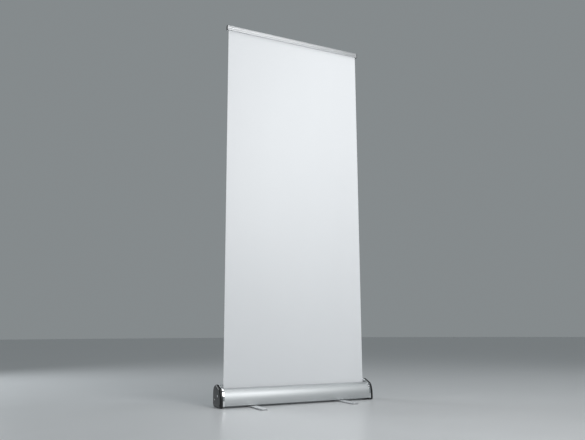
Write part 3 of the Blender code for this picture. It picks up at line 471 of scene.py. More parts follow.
SPRING_WIRE = PlatedSteel(
    "oiled_wire", Slot.SPRING, (0.30, 0.31, 0.33), 0.30, 1.0, (0.20, 0.17, 0.14)
)
FILM_FACE = PrintFilm("film_face", Slot.FILM, (0.86, 0.875, 0.895), 0.46)
FILM_BACK = PrintFilm("film_back", Slot.FILM, (0.52, 0.53, 0.545), 0.40)
PILE = Pile("brush_hair", Slot.PILE, (0.030, 0.030, 0.034), 0.92)
RUBBER = RibbedRubber("pad_rubber", Slot.RUBBER, (0.022, 0.022, 0.023), 0.80)


# Mesh work
def arc(
    centre: Pair, semi: Pair, start: float, end: float, steps: int, power: float = 2.0
) -> list[Pair]:
    """Points of an ellipse's stretch.

    Args:
        centre: Its middle.
        semi: Its half widths.
        start: First angle in degrees, 0 being the first axis and 90 the second.
        end: Last angle.
        steps: Number of stretches between the points.
        power: 2 for an ellipse, more for a fuller curve.

    Returns:
        The points in order.
    """
    points = []
    for step in range(steps + 1):
        angle = math.radians(start + (end - start) * step / steps)
        cosine, sine = math.cos(angle), math.sin(angle)
        across = semi[0] * math.copysign(abs(cosine) ** (2 / power), cosine)
        up = semi[1] * math.copysign(abs(sine) ** (2 / power), sine)
        points.append((centre[0] + across, centre[1] + up))
    return points


def middle_of(node: str) -> Vector:
    """Middle of a frame node's box."""
    low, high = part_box(node)
    return (low + high) / 2


def ends_of(node: str, axis: int, sign: int) -> Pair:
    """A node's inner and outer reach along an axis whose outward sense is the sign."""
    low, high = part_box(node)
    return (low[axis], high[axis]) if sign > 0 else (high[axis], low[axis])


def corners_in(drawn: Sequence[Any]) -> list[bmesh.types.BMVert]:
    """The corners among what an operator made."""
    return [item for item in drawn if isinstance(item, bmesh.types.BMVert)]


def open_edges(work: bmesh.types.BMesh) -> list[bmesh.types.BMEdge]:
    """The edges with a face on one side only."""
    return [edge for edge in work.edges if edge.is_boundary]


def thickened(work: bmesh.types.BMesh, thickness: float, middle: float) -> None:
    """Gives a grid across Y its thickness and centres it.

    Args:
        work: The grid.
        thickness: Its thickness.
        middle: The Y that it is centred on.
    """
    work.normal_update()
    bmesh.ops.solidify(work, geom=work.faces[:], thickness=thickness)
    bmesh.ops.recalc_face_normals(work, faces=work.faces)
    shift = middle - sum(corner.co.y for corner in work.verts) / len(work.verts)
    bmesh.ops.translate(work, verts=work.verts, vec=(0, shift, 0))
    work.normal_update()


def object_from(work: bmesh.types.BMesh, name: str, sharp: float = HARD_TURN) -> bpy.types.Object:
    """Turns a finished bmesh into an object at the origin.

    Args:
        work: The mesh, which is freed.
        name: The piece's name.
        sharp: Edges that turn by more degrees than this stay hard.

    Returns:
        The linked object.
    """
    mesh = bpy.data.meshes.new(name)
    work.to_mesh(mesh)
    work.free()
    mesh.shade_smooth()
    mesh.set_sharp_from_angle(angle=math.radians(sharp))
    made = bpy.data.objects.new(name, mesh)
    bpy.context.scene.collection.objects.link(made)
    return made


def add_loop(
    work: bmesh.types.BMesh, outline: Sequence[Pair], x: float
) -> list[bmesh.types.BMVert]:
    """Adds a closed line in a plane across X.

    Args:
        work: The mesh it goes into.
        outline: Points in Y and Z.
        x: Where the plane stands.

    Returns:
        The line's corners.
    """
    corners = [work.verts.new((x, y, z)) for y, z in outline]
    for first, second in zip(corners, corners[1:] + corners[:1]):
        work.edges.new((first, second))
    return corners


def extruded(
    name: str, outlines: Sequence[Sequence[Pair]], start: float, end: float
) -> bpy.types.Object:
    """A section drawn out along X.

    Args:
        name: The piece's name.
        outlines: The outer line and, for a frame, an inner line with as many points.
        start: Where the section starts.
        end: Where it ends.

    Returns:
        The closed piece.
    """
    work = bmesh.new()
    loops = [add_loop(work, outline, start) for outline in outlines]
    if len(loops) == 1:
        work.faces.new(loops[0])
    else:
        bmesh.ops.bridge_loops(work, edges=work.edges[:])
    drawn = bmesh.ops.extrude_face_region(work, geom=work.faces[:], use_keep_orig=True)
    bmesh.ops.translate(work, verts=corners_in(drawn["geom"]), vec=(end - start, 0, 0))
    bmesh.ops.recalc_face_normals(work, faces=work.faces)
    return object_from(work, name)


def aim(towards: str) -> Matrix:
    """The turn that brings +Z onto an axis.

    Args:
        towards: The axis, as a sign and a letter.

    Returns:
        The turn.
    """
    turns = {
        "+Z": Matrix.Identity(4),
        "-Z": Matrix.Rotation(math.pi, 4, "X"),
        "+X": Matrix.Rotation(math.pi / 2, 4, "Y"),
        "-X": Matrix.Rotation(-math.pi / 2, 4, "Y"),
        "+Y": Matrix.Rotation(-math.pi / 2, 4, "X"),
    }
    return turns[towards]


def spun(
    work: bmesh.types.BMesh, profile: Sequence[Pair], steps: int, closed: bool = False
) -> None:
    """Turns a profile about Z.

    Args:
        work: The mesh it goes into.
        profile: Points as (radius, height), down the outside.
        steps: Facets round the axis.
        closed: Whether the profile is a ring's section.
    """
    corners = [work.verts.new((radius, 0, height)) for radius, height in profile]
    pairs = list(zip(corners, corners[1:]))
    if closed:
        pairs.append((corners[-1], corners[0]))
    edges = [work.edges.new(pair) for pair in pairs]
    bmesh.ops.spin(
        work,
        geom=corners + edges,
        cent=(0, 0, 0),
        axis=(0, 0, 1),
        angle=math.tau,
        steps=steps,
        use_merge=True,
        use_duplicate=False,
    )
    bmesh.ops.remove_doubles(work, verts=work.verts, dist=SPIN_WELD)


def lathed(
    name: str,
    profile: Sequence[Pair],
    towards: str,
    place: Sequence[float],
    closed: bool = False,
    steps: int = 64,
) -> bpy.types.Object:
    """A turned piece.

    Args:
        name: The piece's name.
        profile: Points as (radius, height).
        towards: Where the profile's height points.
        place: Where its zero lies.
        closed: Whether the profile is a ring's section.
        steps: Facets round the axis.

    Returns:
        The piece.
    """
    work = bmesh.new()
    spun(work, profile, steps, closed)
    bmesh.ops.recalc_face_normals(work, faces=work.faces)
    work.transform(Matrix.Translation(Vector(place)) @ aim(towards))
    return object_from(work, name)


def ease(piece: bpy.types.Object, width: float, angle: float = 40.0, segments: int = 2) -> None:
    """Eases a piece's hard edges.

    Args:
        piece: The piece.
        width: Width of the eased strip.
        angle: Least turn, in degrees, of an edge that is eased.
        segments: Facets across the strip.
    """
    step = piece.modifiers.new("eased_edges", "BEVEL")
    step.width = width
    step.segments = segments
    step.limit_method = "ANGLE"
    step.angle_limit = math.radians(angle)
    step.harden_normals = True


def carve(piece: bpy.types.Object, cutters: Sequence[bpy.types.Object]) -> None:
    """Cuts bodies out of a piece for good and removes them.

    Args:
        piece: The piece that is cut.
        cutters: The bodies, which are used up.
    """
    for cutter in cutters:
        step = piece.modifiers.new("cut", "BOOLEAN")
        step.operation = "DIFFERENCE"
        step.solver = "EXACT"
        step.object = cutter
    evaluated = piece.evaluated_get(bpy.context.evaluated_depsgraph_get())
    mesh = bpy.data.meshes.new_from_object(evaluated)
    piece.modifiers.clear()
    piece.data = mesh
    mesh.name = piece.name
    mesh.set_sharp_from_angle(angle=math.radians(HARD_TURN))
    for cutter in cutters:
        bpy.data.objects.remove(cutter)


def dress(
    piece: bpy.types.Object, body: str, *finishes: Finish, stands_for: Sequence[str] = ()
) -> None:
    """Gives a piece its finish and its body.

    Args:
        piece: The piece.
        body: The frame body that it moves with.
        finishes: Its finishes in slot order; the first is named in the log.
        stands_for: Frame nodes that it takes the place of.
    """
    piece.data.materials.clear()
    for finish in finishes:
        piece.data.materials.append(finish.material())
    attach(piece, body)
    if stands_for:
        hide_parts(*stands_for)
    LOG.info("%s rides on %s in %s", piece.name, body, finishes[0].name)


def repaint(node: str, finish: Finish) -> None:
    """Gives a frame node that keeps its own mesh a finish.

    Args:
        node: The node.
        finish: Its finish.
    """
    holder = frame["nodes"][node]
    holder.data.materials.clear()
    holder.data.materials.append(finish.material())
    LOG.info("%s keeps its mesh, in %s", node, finish.name)


def smooth_stand_in(
    node: str, body: str, finish: Finish, edge: float = 0.0, sharp: float = HARD_TURN
) -> None:
    """Puts a copy in a node's place, its triangles joined into faces and its hard edges eased.

    Args:
        node: The node.
        body: The body that it belongs to.
        finish: The finish of the copy.
        edge: Width that its hard edges are eased by.
        sharp: Edges that turn by more degrees than this are hard.
    """
    work = bmesh.new()
    work.from_mesh(frame["nodes"][node].data)
    bmesh.ops.remove_doubles(work, verts=work.verts, dist=COPY_WELD)
    flat = math.radians(FLAT_TURN)
    bmesh.ops.dissolve_limit(work, angle_limit=flat, verts=work.verts, edges=work.edges)
    made = object_from(work, f"{node}_skin", sharp)
    if edge:
        ease(made, edge, sharp)
    dress(made, body, finish, stands_for=[node])


# Screws
class Drive(Enum):
    """Recess in a screw's head."""

    CROSS = "cross"
    HEXAGON = "hexagon"


@dataclass
class Screw:
    """A headed screw in a node's place; its plain numbers are shares of the head or the shank."""

    node: str
    shank: float
    head: float
    height: float
    drive: Drive
    kind: str = "threaded"
    steps: int = 48
    crown: float = 0.42
    flat: float = 0.62
    tip: float = 0.7
    tip_draw: float = 0.6
    recess_depth: float = 0.72
    recess_draw: float = 0.80
    hexagon: float = 0.52
    cross: Pair = (0.60, 0.13)
    pitch: float = 0.36
    thread_depth: float = 0.14

    def mouth(self, angle: float) -> float:
        """Radius of the recess's mouth at an angle.

        Args:
            angle: Angle round the axis in radians.

        Returns:
            The radius in metres.
        """
        if self.drive is Drive.HEXAGON:
            turn = (angle % (math.pi / 3)) - math.pi / 6
            return self.head * self.hexagon * math.cos(math.pi / 6) / math.cos(turn)
        arm, half_width = (self.head * share for share in self.cross)
        turn = abs((angle + math.pi / 4) % (math.pi / 2) - math.pi / 4)
        if math.tan(turn) * arm < half_width:
            return arm / math.cos(turn)
        return half_width / math.sin(turn)

    def build(self, towards: str) -> bpy.types.Object:
        """Turns the screw, sinks its recess and puts it in its node's place.

        Args:
            towards: Where the head points.

        Returns:
            The screw.
        """
        axis, sign = "XYZ".index(towards[1]), -1 if towards[0] == "-" else 1
        inner, outer = ends_of(self.node, axis, sign)
        seat = outer - sign * self.height
        length = abs(seat - inner)
        crown, end = self.height * self.crown, self.shank * self.tip
        semi = (self.head * (1 - self.flat), self.height - crown)
        profile = arc((self.head * self.flat, crown), semi, 90, 0, 6) + [
            (self.head, 0),
            (self.shank, 0),
            *self.thread(length),
            (self.shank, end - length),
            (self.shank - end * self.tip_draw, -length),
            (0, -length),
        ]
        work = bmesh.new()
        spun(work, profile, self.steps)
        self.sink(work, 0.0, 1.0)
        self.sink(work, -self.height * self.recess_depth, self.recess_draw)
        bmesh.ops.holes_fill(work, edges=open_edges(work))
        bmesh.ops.recalc_face_normals(work, faces=work.faces)
        place = middle_of(self.node)
        place[axis] = seat
        work.transform(Matrix.Translation(place) @ aim(towards))
        return object_from(work, f"{self.node}_{self.kind}", HEAD_TURN)

    def thread(self, length: float) -> list[Pair]:
        """The thread as rolled rings below the head.

        Args:
            length: Length of the screw under its head.

        Returns:
            The rings' points.
        """
        pitch, root = self.shank * self.pitch, self.shank * (1 - self.thread_depth)
        points = []
        for turn in range(1, int((length - self.shank * 2) / pitch)):
            points += [(self.shank, -turn * pitch), (root, -(turn + 0.5) * pitch)]
        return points

    def sink(self, work: bmesh.types.BMesh, drop: float, share: float) -> None:
        """Draws the open edge on, lowers it and brings it onto the recess's outline.

        Args:
            work: The screw's mesh.
            drop: How far the edge moves along the axis.
            share: Size of the outline there.
        """
        drawn = bmesh.ops.extrude_edge_only(work, edges=open_edges(work))["geom"]
        ring = corners_in(drawn)
        bmesh.ops.translate(work, verts=ring, vec=(0, 0, drop))
        for corner in ring:
            angle = math.atan2(corner.co.y, corner.co.x)
            radius = self.mouth(angle) * share
            corner.co.x, corner.co.y = radius * math.cos(angle), radius * math.sin(angle)


# Cassette
@dataclass(frozen=True)
class CassetteLine:
    """The outline that the housing, the trims and the caps share, in Y and Z."""

    plane: float
    front: float = 0.053
    rear: float = 0.060
    underside: float = 0.010
    lip: float = 0.095
    crest: float = 0.1125
    shoulder: float = 0.010
    belly: float = 0.024
    fullness: float = 2.3
    rear_radius: float = 0.038
    front_edge: float = 0.003
    rear_edge: float = 0.016
    slope: float = 16.0
    least: float = 0.001

    def front_curve(
        self, inset: float, top: float, start: float = 90.0, steps: int = 44
    ) -> list[Pair]:
        """The full curve of the front, from the lip down to the belly.

        Args:
            inset: How far inside the housing's face.
            top: Height of the curve's upper end.
            start: Angle at which it starts.
            steps: Stretches along it.

        Returns:
            Its points.
        """
        semi = (self.front - self.shoulder - inset, top - self.belly - inset)
        return arc((self.plane - self.shoulder, self.belly), semi, start, 180, steps, self.fullness)

    def rear_curve(self, inset: float) -> list[Pair]:
        """The round of the back, from its side up to the sloping top.

        Args:
            inset: How far inside the housing's face.

        Returns:
            Its points.
        """
        radius = self.rear_radius - inset
        centre = (self.plane + self.rear - self.rear_radius, self.crest - self.rear_radius)
        return arc(centre, (radius, radius), 0, 90 + self.slope, 28)

    def corner(
        self, side: float, floor: float, radius: float, inset: float, start: float
    ) -> list[Pair]:
        """A quarter turn between a side and the bottom.

        Args:
            side: The side's distance from the graphic, negative in front.
            floor: Height of the bottom.
            radius: Radius before the inset.
            inset: How far inside.
            start: Angle at which it starts.

        Returns:
            Its points.
        """
        radius = max(radius, inset + self.least)
        middle = (self.plane + side - math.copysign(radius, side), floor + radius)
        return arc(middle, (radius - inset, radius - inset), start, start + 90, 8)

    def slope_at(self, y: float, end: Pair) -> float:
        """Height of the sloping top at y."""
        return end[1] - (end[0] - y) * math.tan(math.radians(self.slope))


@dataclass
class Cassette:
    """Housing, slot brushes and the pieces on its floor."""

    line: CassetteLine
    wall: float = 0.0018
    slot: float = 0.005
    flange: float = 0.014
    groove_height: float = 0.0195
    groove: Pair = (0.0016, 0.0009)
    groove_shape: Sequence[Pair] = ((0, 1), (0.6, 0.88), (1, 0.6), (1, 0.3), (0.5, 0), (0, -0.12))
    shell_edge: float = 0.00025
    socket_hole: Pair = (0.0122, 0.030)
    pivot_hole: Pair = (0.0029, 0.004)
    pile_grid: tuple[int, int] = (420, 5)
    pile_share: float = 0.8
    fray: float = 0.00035
    fray_grain: Pair = (900.0, 3.0)
    body: str = "cassette"

    def section(self) -> list[Pair]:
        """The extrusion's section.

        Returns:
            One closed line.
        """
        line, plane = self.line, self.line.plane
        outer = line.front_curve(0, line.lip)
        inner = line.front_curve(self.wall, line.lip)
        rear, inner_rear = line.rear_curve(0), line.rear_curve(self.wall)
        face = plane - line.front
        width, depth = self.groove
        low = self.groove_height - width / 2
        groove = [(face + depth * into, low + width * up) for into, up in self.groove_shape]
        outside = [(plane - self.slot, line.lip), *outer, *groove]
        outside += line.corner(-line.front, line.underside, line.front_edge, 0, 180)
        outside += line.corner(line.rear, line.underside, line.rear_edge, 0, 270) + rear
        behind = plane + self.slot
        foot = line.slope_at(behind, rear[-1]) - self.flange
        outside += [
            (behind, line.slope_at(behind, rear[-1])),
            (behind, foot),
            (behind + self.wall, foot),
            (behind + self.wall, line.slope_at(behind + self.wall, inner_rear[-1])),
        ]
        inside = line.corner(-line.front, line.underside, line.front_edge, self.wall, 180)
        inside += line.corner(line.rear, line.underside, line.rear_edge, self.wall, 270)
        inside = inner + inside + inner_rear
        return outside + inside[::-1] + [(plane - self.slot, line.lip - self.wall)]

    def build_shell(self) -> None:
        """Draws the housing out, and opens it for the pole's socket and the feet's screws."""
        low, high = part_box("cassette_housing")
        shell = extruded("cassette_shell", [self.section()], low.x, high.x)
        cutters = [self._cutter("pole_socket", self.line.crest, self.socket_hole)]
        for side in SIDES:
            node = f"foot_spacer_{side}"
            cutters.append(self._cutter(node, self.line.underside, self.pivot_hole))
        carve(shell, cutters)
        ease(shell, self.shell_edge, EASED_TURN)
        dress(shell, self.body, EXTRUSION, stands_for=["cassette_housing"])

    def _cutter(self, node: str, height: float, size: Pair) -> bpy.types.Object:
        """A round cutter on a node's upright axis.

        Args:
            node: The node.
            height: Height of the cutter's middle.
            size: Its radius and half its length.

        Returns:
            The cutter.
        """
        (radius, half), middle = size, middle_of(node)
        profile = [(0, half), (radius, half), (radius, -half), (0, -half)]
        return lathed(f"{node}_cutter", profile, "+Z", (middle.x, middle.y, height), steps=48)

    def build_brushes(self) -> None:
        """Two strips of pile along the slot, uneven at their edges."""
        for end, sign in (("front", -1), ("rear", 1)):
            node = f"slot_brush_{end}"
            low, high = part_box(node)
            work = bmesh.new()
            across, down = self.pile_grid
            bmesh.ops.create_grid(work, x_segments=across, y_segments=down, size=0.5)
            middle = (low.y + high.y) / 2
            for corner in work.verts:
                along, down = corner.co.x + 0.5, corner.co.y + 0.5
                x = low.x + (high.x - low.x) * along
                where = Vector((x * self.fray_grain[0], down * self.fray_grain[1], sign))
                fray = noise.noise(where) * self.fray * (1 - down)
                corner.co = (x, middle + fray, low.z + (high.z - low.z) * down + fray)
            thickened(work, (high.y - low.y) * self.pile_share, middle)
            dress(object_from(work, f"pile_{end}"), self.body, PILE, stands_for=[node])

    def build_socket(self) -> None:
        """The pole's socket and seat, and the finish of the leader, which keeps its mesh."""
        smooth_stand_in("pole_socket", self.body, FITTING_PLASTIC, SOFT_EDGE)
        smooth_stand_in("pole_seat", self.body, FITTING_PLASTIC, EDGE)
        repaint("leader_strip", CORE_PLASTIC)

    def build(self) -> None:
        """Makes the whole cassette."""
        self.build_shell()
        self.build_brushes()
        self.build_socket()


@dataclass
class EndFitting:
    """Bright trim, end cap and their screws on one end of the cassette."""

    side: str
    line: CassetteLine
    proud: float = 0.002
    band: float = 0.012
    gap: float = 0.0003
    front_top: float = 0.100
    front_start: float = 115.0
    trim_edge: float = 0.0012
    trim_turn: float = 60.0
    cap_corners: Pair = (0.012, 0.022)
    cap_rounding: float = 0.0085
    well_depth: float = 0.004
    screw_hole: Pair = (0.0019, 0.0034)
    axle_hole: Pair = (0.0044, 0.0019)
    pin_hole: Pair = (0.0024, 0.0026)
    cutter_reach: float = 0.03
    cap_screw: Triple = (0.0015, 0.0030, 0.0018)
    axle_screw: Triple = (0.0015, 0.0055, 0.0025)
    body: str = "cassette"

    @property
    def sign(self) -> int:
        """-1 on the left, 1 on the right."""
        return SIDES[self.side]

    @property
    def outwards(self) -> str:
        """The axis that points out of this end."""
        return "+X" if self.sign > 0 else "-X"

    def outline(self, inset: float, floor: float, corners: Pair) -> list[Pair]:
        """The housing's line stood off all round.

        Args:
            inset: How far inside the fitting's own face.
            floor: Height of its bottom.
            corners: Radii of its front and rear bottom corners.

        Returns:
            The closed outline.
        """
        line, grown = self.line, inset - self.proud
        points = line.front_curve(grown, self.front_top, self.front_start, 36)
        points += line.corner(-line.front - self.proud, floor, corners[0], inset, 180)
        points += line.corner(line.rear + self.proud, floor, corners[1], inset, 270)
        return points + line.rear_curve(grown)

    def ends(self, node: str) -> Pair:
        """A node's inner and outer X, measured outwards."""
        return ends_of(node, 0, self.sign)

    def build_trim(self) -> None:
        """The bright frame, with rolled outer edges."""
        line = self.line
        floor = line.underside - self.proud
        corners = (line.front_edge + self.proud, line.rear_edge + self.proud)
        loops = [self.outline(inset, floor, corners) for inset in (self.gap, self.band)]
        node = f"end_trim_{self.side}"
        trim = extruded(f"bright_trim_{self.side}", loops, *self.ends(node))
        ease(trim, self.trim_edge, self.trim_turn, segments=4)
        dress(trim, self.body, CHROME, stands_for=[node])

    def build_cap(self) -> None:
        """The domed cap, with wells for its screws and holes for the axle and the pin."""
        node = f"end_cap_{self.side}"
        outer = self.ends(node)[1]
        inner = self.ends(f"end_trim_{self.side}")[1] + self.sign * self.gap
        cap = self._dome(f"cap_{self.side}", inner, outer)
        well = abs(outer) - self.well_depth
        cutters = []
        for number in CAP_SCREWS:
            cutters.append(self._hole(f"cap_screw_{self.side}_{number}", self.screw_hole, well))
        axle = "spring_rod" if self.side == "left" else "idle_pin"
        step = abs(self.ends(axle)[1]) + self.gap
        cutters.append(self._hole(f"axle_screw_{self.side}", self.axle_hole, step))
        if self.side == "left":
            cutters.append(self._hole("lock_pin", self.pin_hole, abs(outer) - self.gap))
        carve(cap, cutters)
        ease(cap, EDGE, EASED_TURN)
        dress(cap, self.body, CAP_PLASTIC, stands_for=[node])

    def _dome(self, name: str, inner: float, outer: float) -> bpy.types.Object:
        """The cap's body: its outline drawn outwards and its outer edge rolled over.

        Args:
            name: Its name.
            inner: X of its inner face.
            outer: X of its outer face.

        Returns:
            The body.
        """
        work = bmesh.new()
        base = work.faces.new(add_loop(work, self.outline(0, 0.0, self.cap_corners), inner))
        drawn = bmesh.ops.extrude_face_region(work, geom=[base], use_keep_orig=True)["geom"]
        bmesh.ops.translate(work, verts=corners_in(drawn), vec=(outer - inner, 0, 0))
        face = next(item for item in drawn if isinstance(item, bmesh.types.BMFace))
        bmesh.ops.bevel(
            work,
            geom=list(face.edges),
            offset=self.cap_rounding,
            affect="EDGES",
            segments=10,
            profile=0.5,
            material=-1,
        )
        bmesh.ops.recalc_face_normals(work, faces=work.faces)
        return object_from(work, name)

    def _hole(self, node: str, radii: Pair, step: float) -> bpy.types.Object:
        """A stepped cutter along a node's axis.

        Args:
            node: The node.
            radii: Radius up to the step, and beyond it.
            step: Where the step lies, measured outwards.

        Returns:
            The cutter.
        """
        inner, outer = radii
        start, end = step - self.cutter_reach, step + self.cutter_reach
        profile = [(0, end), (outer, end), (outer, step), (inner, step), (inner, start), (0, start)]
        place = middle_of(node)
        place.x = 0
        return lathed(f"{node}_hole", profile, self.outwards, place, steps=40)

    def build_screws(self) -> None:
        """Cap screws in their wells, and the bright axle screw on the cap's face."""
        hexagon, cross = (Drive.HEXAGON, BLACKENED), (Drive.CROSS, ZINC)
        kinds = [(f"cap_screw_{self.side}_{n}", self.cap_screw, *hexagon) for n in CAP_SCREWS]
        kinds.append((f"axle_screw_{self.side}", self.axle_screw, *cross))
        for node, sizes, drive, finish in kinds:
            made = Screw(node, *sizes, drive).build(self.outwards)
            dress(made, self.body, finish, stands_for=[node])

    def build(self) -> None:
        """Makes this end."""
        self.build_trim()
        self.build_cap()
        self.build_screws()
        if self.side == "left":
            LockPin().build()


@dataclass
class LockPin:
    """The roller's locking pin, with a knurled knob."""

    height: float = 0.0020
    knob_shape: Sequence[Pair] = ((0, 1), (0.80, 1), (1, 0.86), (1, 0.14), (0.92, 0))
    collar: Pair = (0.0020, 0.0010)
    radius: float = 0.0014
    teeth: int = 36
    rim: float = 0.95
    notch: float = 0.955

    def build(self) -> None:
        """Turns the pin and cuts the knurl into its knob."""
        low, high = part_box("lock_pin")
        knob, seat = (high.z - low.z) / 2, low.x + self.height
        length = high.x - seat
        profile = [(knob * out, self.height * up) for out, up in self.knob_shape] + [
            (self.collar[0], 0),
            (self.collar[0], self.collar[1] - length),
            (self.radius, -length),
            (0, -length),
        ]
        work = bmesh.new()
        spun(work, profile, self.teeth * 2)
        for corner in work.verts:
            reach = math.hypot(corner.co.x, corner.co.y)
            tooth = round(math.atan2(corner.co.y, corner.co.x) / (math.pi / self.teeth))
            if reach > knob * self.rim and tooth % 2:
                corner.co.x *= self.notch
                corner.co.y *= self.notch
        bmesh.ops.recalc_face_normals(work, faces=work.faces)
        place = middle_of("lock_pin")
        place.x = seat
        work.transform(Matrix.Translation(place) @ aim("-X"))
        made = object_from(work, "lock_pin_knurled", HEAD_TURN)
        dress(made, "lock", ZINC, stands_for=["lock_pin"])


# Feet
@dataclass
class SwivelFoot:
    """Bar, rubber pads, spacer, screw and nut of one foot."""

    side: str
    shoulder: float = 0.0040
    thread: float = 0.0025
    head: float = 0.0070
    head_height: float = 0.0018
    gap: float = 0.0003

    @property
    def body(self) -> str:
        """The body that the foot turns with."""
        return f"foot_{self.side}"

    def build_bar(self) -> None:
        """The flat bar and the ribbed pads under its ends."""
        smooth_stand_in(f"foot_bar_{self.side}", self.body, FOOT_METAL, EDGE)
        for end in ("front", "rear"):
            smooth_stand_in(f"foot_pad_{self.side}_{end}", self.body, RUBBER, EDGE)

    def build_fixing(self) -> None:
        """The pivot: its spacer, nut, and shoulder screw with a hexagon recess."""
        smooth_stand_in(f"foot_spacer_{self.side}", "cassette", FITTING_PLASTIC, EDGE)
        smooth_stand_in(f"foot_nut_{self.side}", "cassette", ZINC, FINE_EDGE)
        node = f"foot_screw_{self.side}"
        sizes = (self.shoulder, self.head, self.head_height)
        screw = Screw(node, *sizes, Drive.HEXAGON, "shouldered").build("-Z")
        self.neck(screw, middle_of(node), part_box("cassette_housing")[0].z)
        dress(screw, "cassette", ZINC, stands_for=[node])

    def neck(self, screw: bpy.types.Object, middle: Vector, housing: float) -> None:
        """Draws the shank in from its shoulder up to the thread.

        Args:
            screw: The screw.
            middle: A point on its axis.
            housing: Height of the shoulder's top.
        """
        share = self.thread / self.shoulder
        for vertex in screw.data.vertices:
            if vertex.co.z > housing - self.gap:
                vertex.co.x = middle.x + (vertex.co.x - middle.x) * share
                vertex.co.y = middle.y + (vertex.co.y - middle.y) * share

    def build(self) -> None:
        """Makes the foot."""
        self.build_bar()
        self.build_fixing()


# Roller and spring motor
@dataclass
class SpringRoller:
    """The sprung roller in the cassette, and the fixed rods that carry it."""

    body: str = "roller"

    def build(self) -> None:
        """Dresses the roller, its plugs, the spring and the rods."""
        smooth_stand_in("roller_tube", self.body, EXTRUSION)
        smooth_stand_in("leader_wrap", self.body, FILM_BACK)
        smooth_stand_in("torsion_spring", self.body, SPRING_WIRE, sharp=WIRE_TURN)
        for side in SIDES:
            smooth_stand_in(f"roller_plug_{side}", self.body, CORE_PLASTIC, EDGE)
        smooth_stand_in("spring_anchor", "cassette", CORE_PLASTIC, EDGE)
        smooth_stand_in("spring_rod", "cassette", ZINC)
        smooth_stand_in("idle_pin", "cassette", ZINC)


# Graphic
@dataclass
class Graphic:
    """The blank film between the slot and the rail: white in front, grey behind."""

    columns: int = 80
    rows: int = 96
    ripple: float = 0.00012
    ripple_grain: Triple = (2.6, 0.7, 0.37)
    curl: float = 0.00012
    curl_power: int = 16
    curl_sway: Pair = (0.4, 5.0)
    settling: float = 6.0
    body: str = "cassette"

    def build(self) -> None:
        """Makes the film with the faint ripples and edge curl that tension leaves in it."""
        low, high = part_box("graphic_panel")
        middle, film = (low.y + high.y) / 2, high.y - low.y
        work = bmesh.new()
        bmesh.ops.create_grid(work, x_segments=self.columns, y_segments=self.rows, size=0.5)
        for corner in work.verts:
            across, up = corner.co.x * 2, corner.co.y + 0.5
            free = min(1.0, min(up, 1 - up) * self.settling)
            grain, (sway, turns) = self.ripple_grain, self.curl_sway
            where = Vector((across * grain[0], up * grain[1], grain[2]))
            wave = noise.noise(where) * self.ripple
            curl = abs(across) ** self.curl_power * self.curl
            curl *= 1 - sway + sway * math.sin(up * turns)
            x = (low.x + high.x) / 2 + corner.co.x * (high.x - low.x)
            corner.co = (x, middle + (wave + curl) * free, low.z + (high.z - low.z) * up)
        thickened(work, film, middle)
        for face in work.faces:
            face.material_index = int(face.normal.y > 0.5)
        sheet = object_from(work, "graphic_film")
        dress(sheet, self.body, FILM_FACE, FILM_BACK, stands_for=["graphic_panel"])
        travel = self.travel()
        size = (high.x - low.x, high.z - low.z)
        1 - travel / size[1]
        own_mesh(sheet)

    def travel(self) -> float:
        """How far the rail comes down."""
        joint = next(j for j in frame["joints"] if j["name"] == "rail_lower")
        return max(abs(limit) for limit in joint["range_m"])


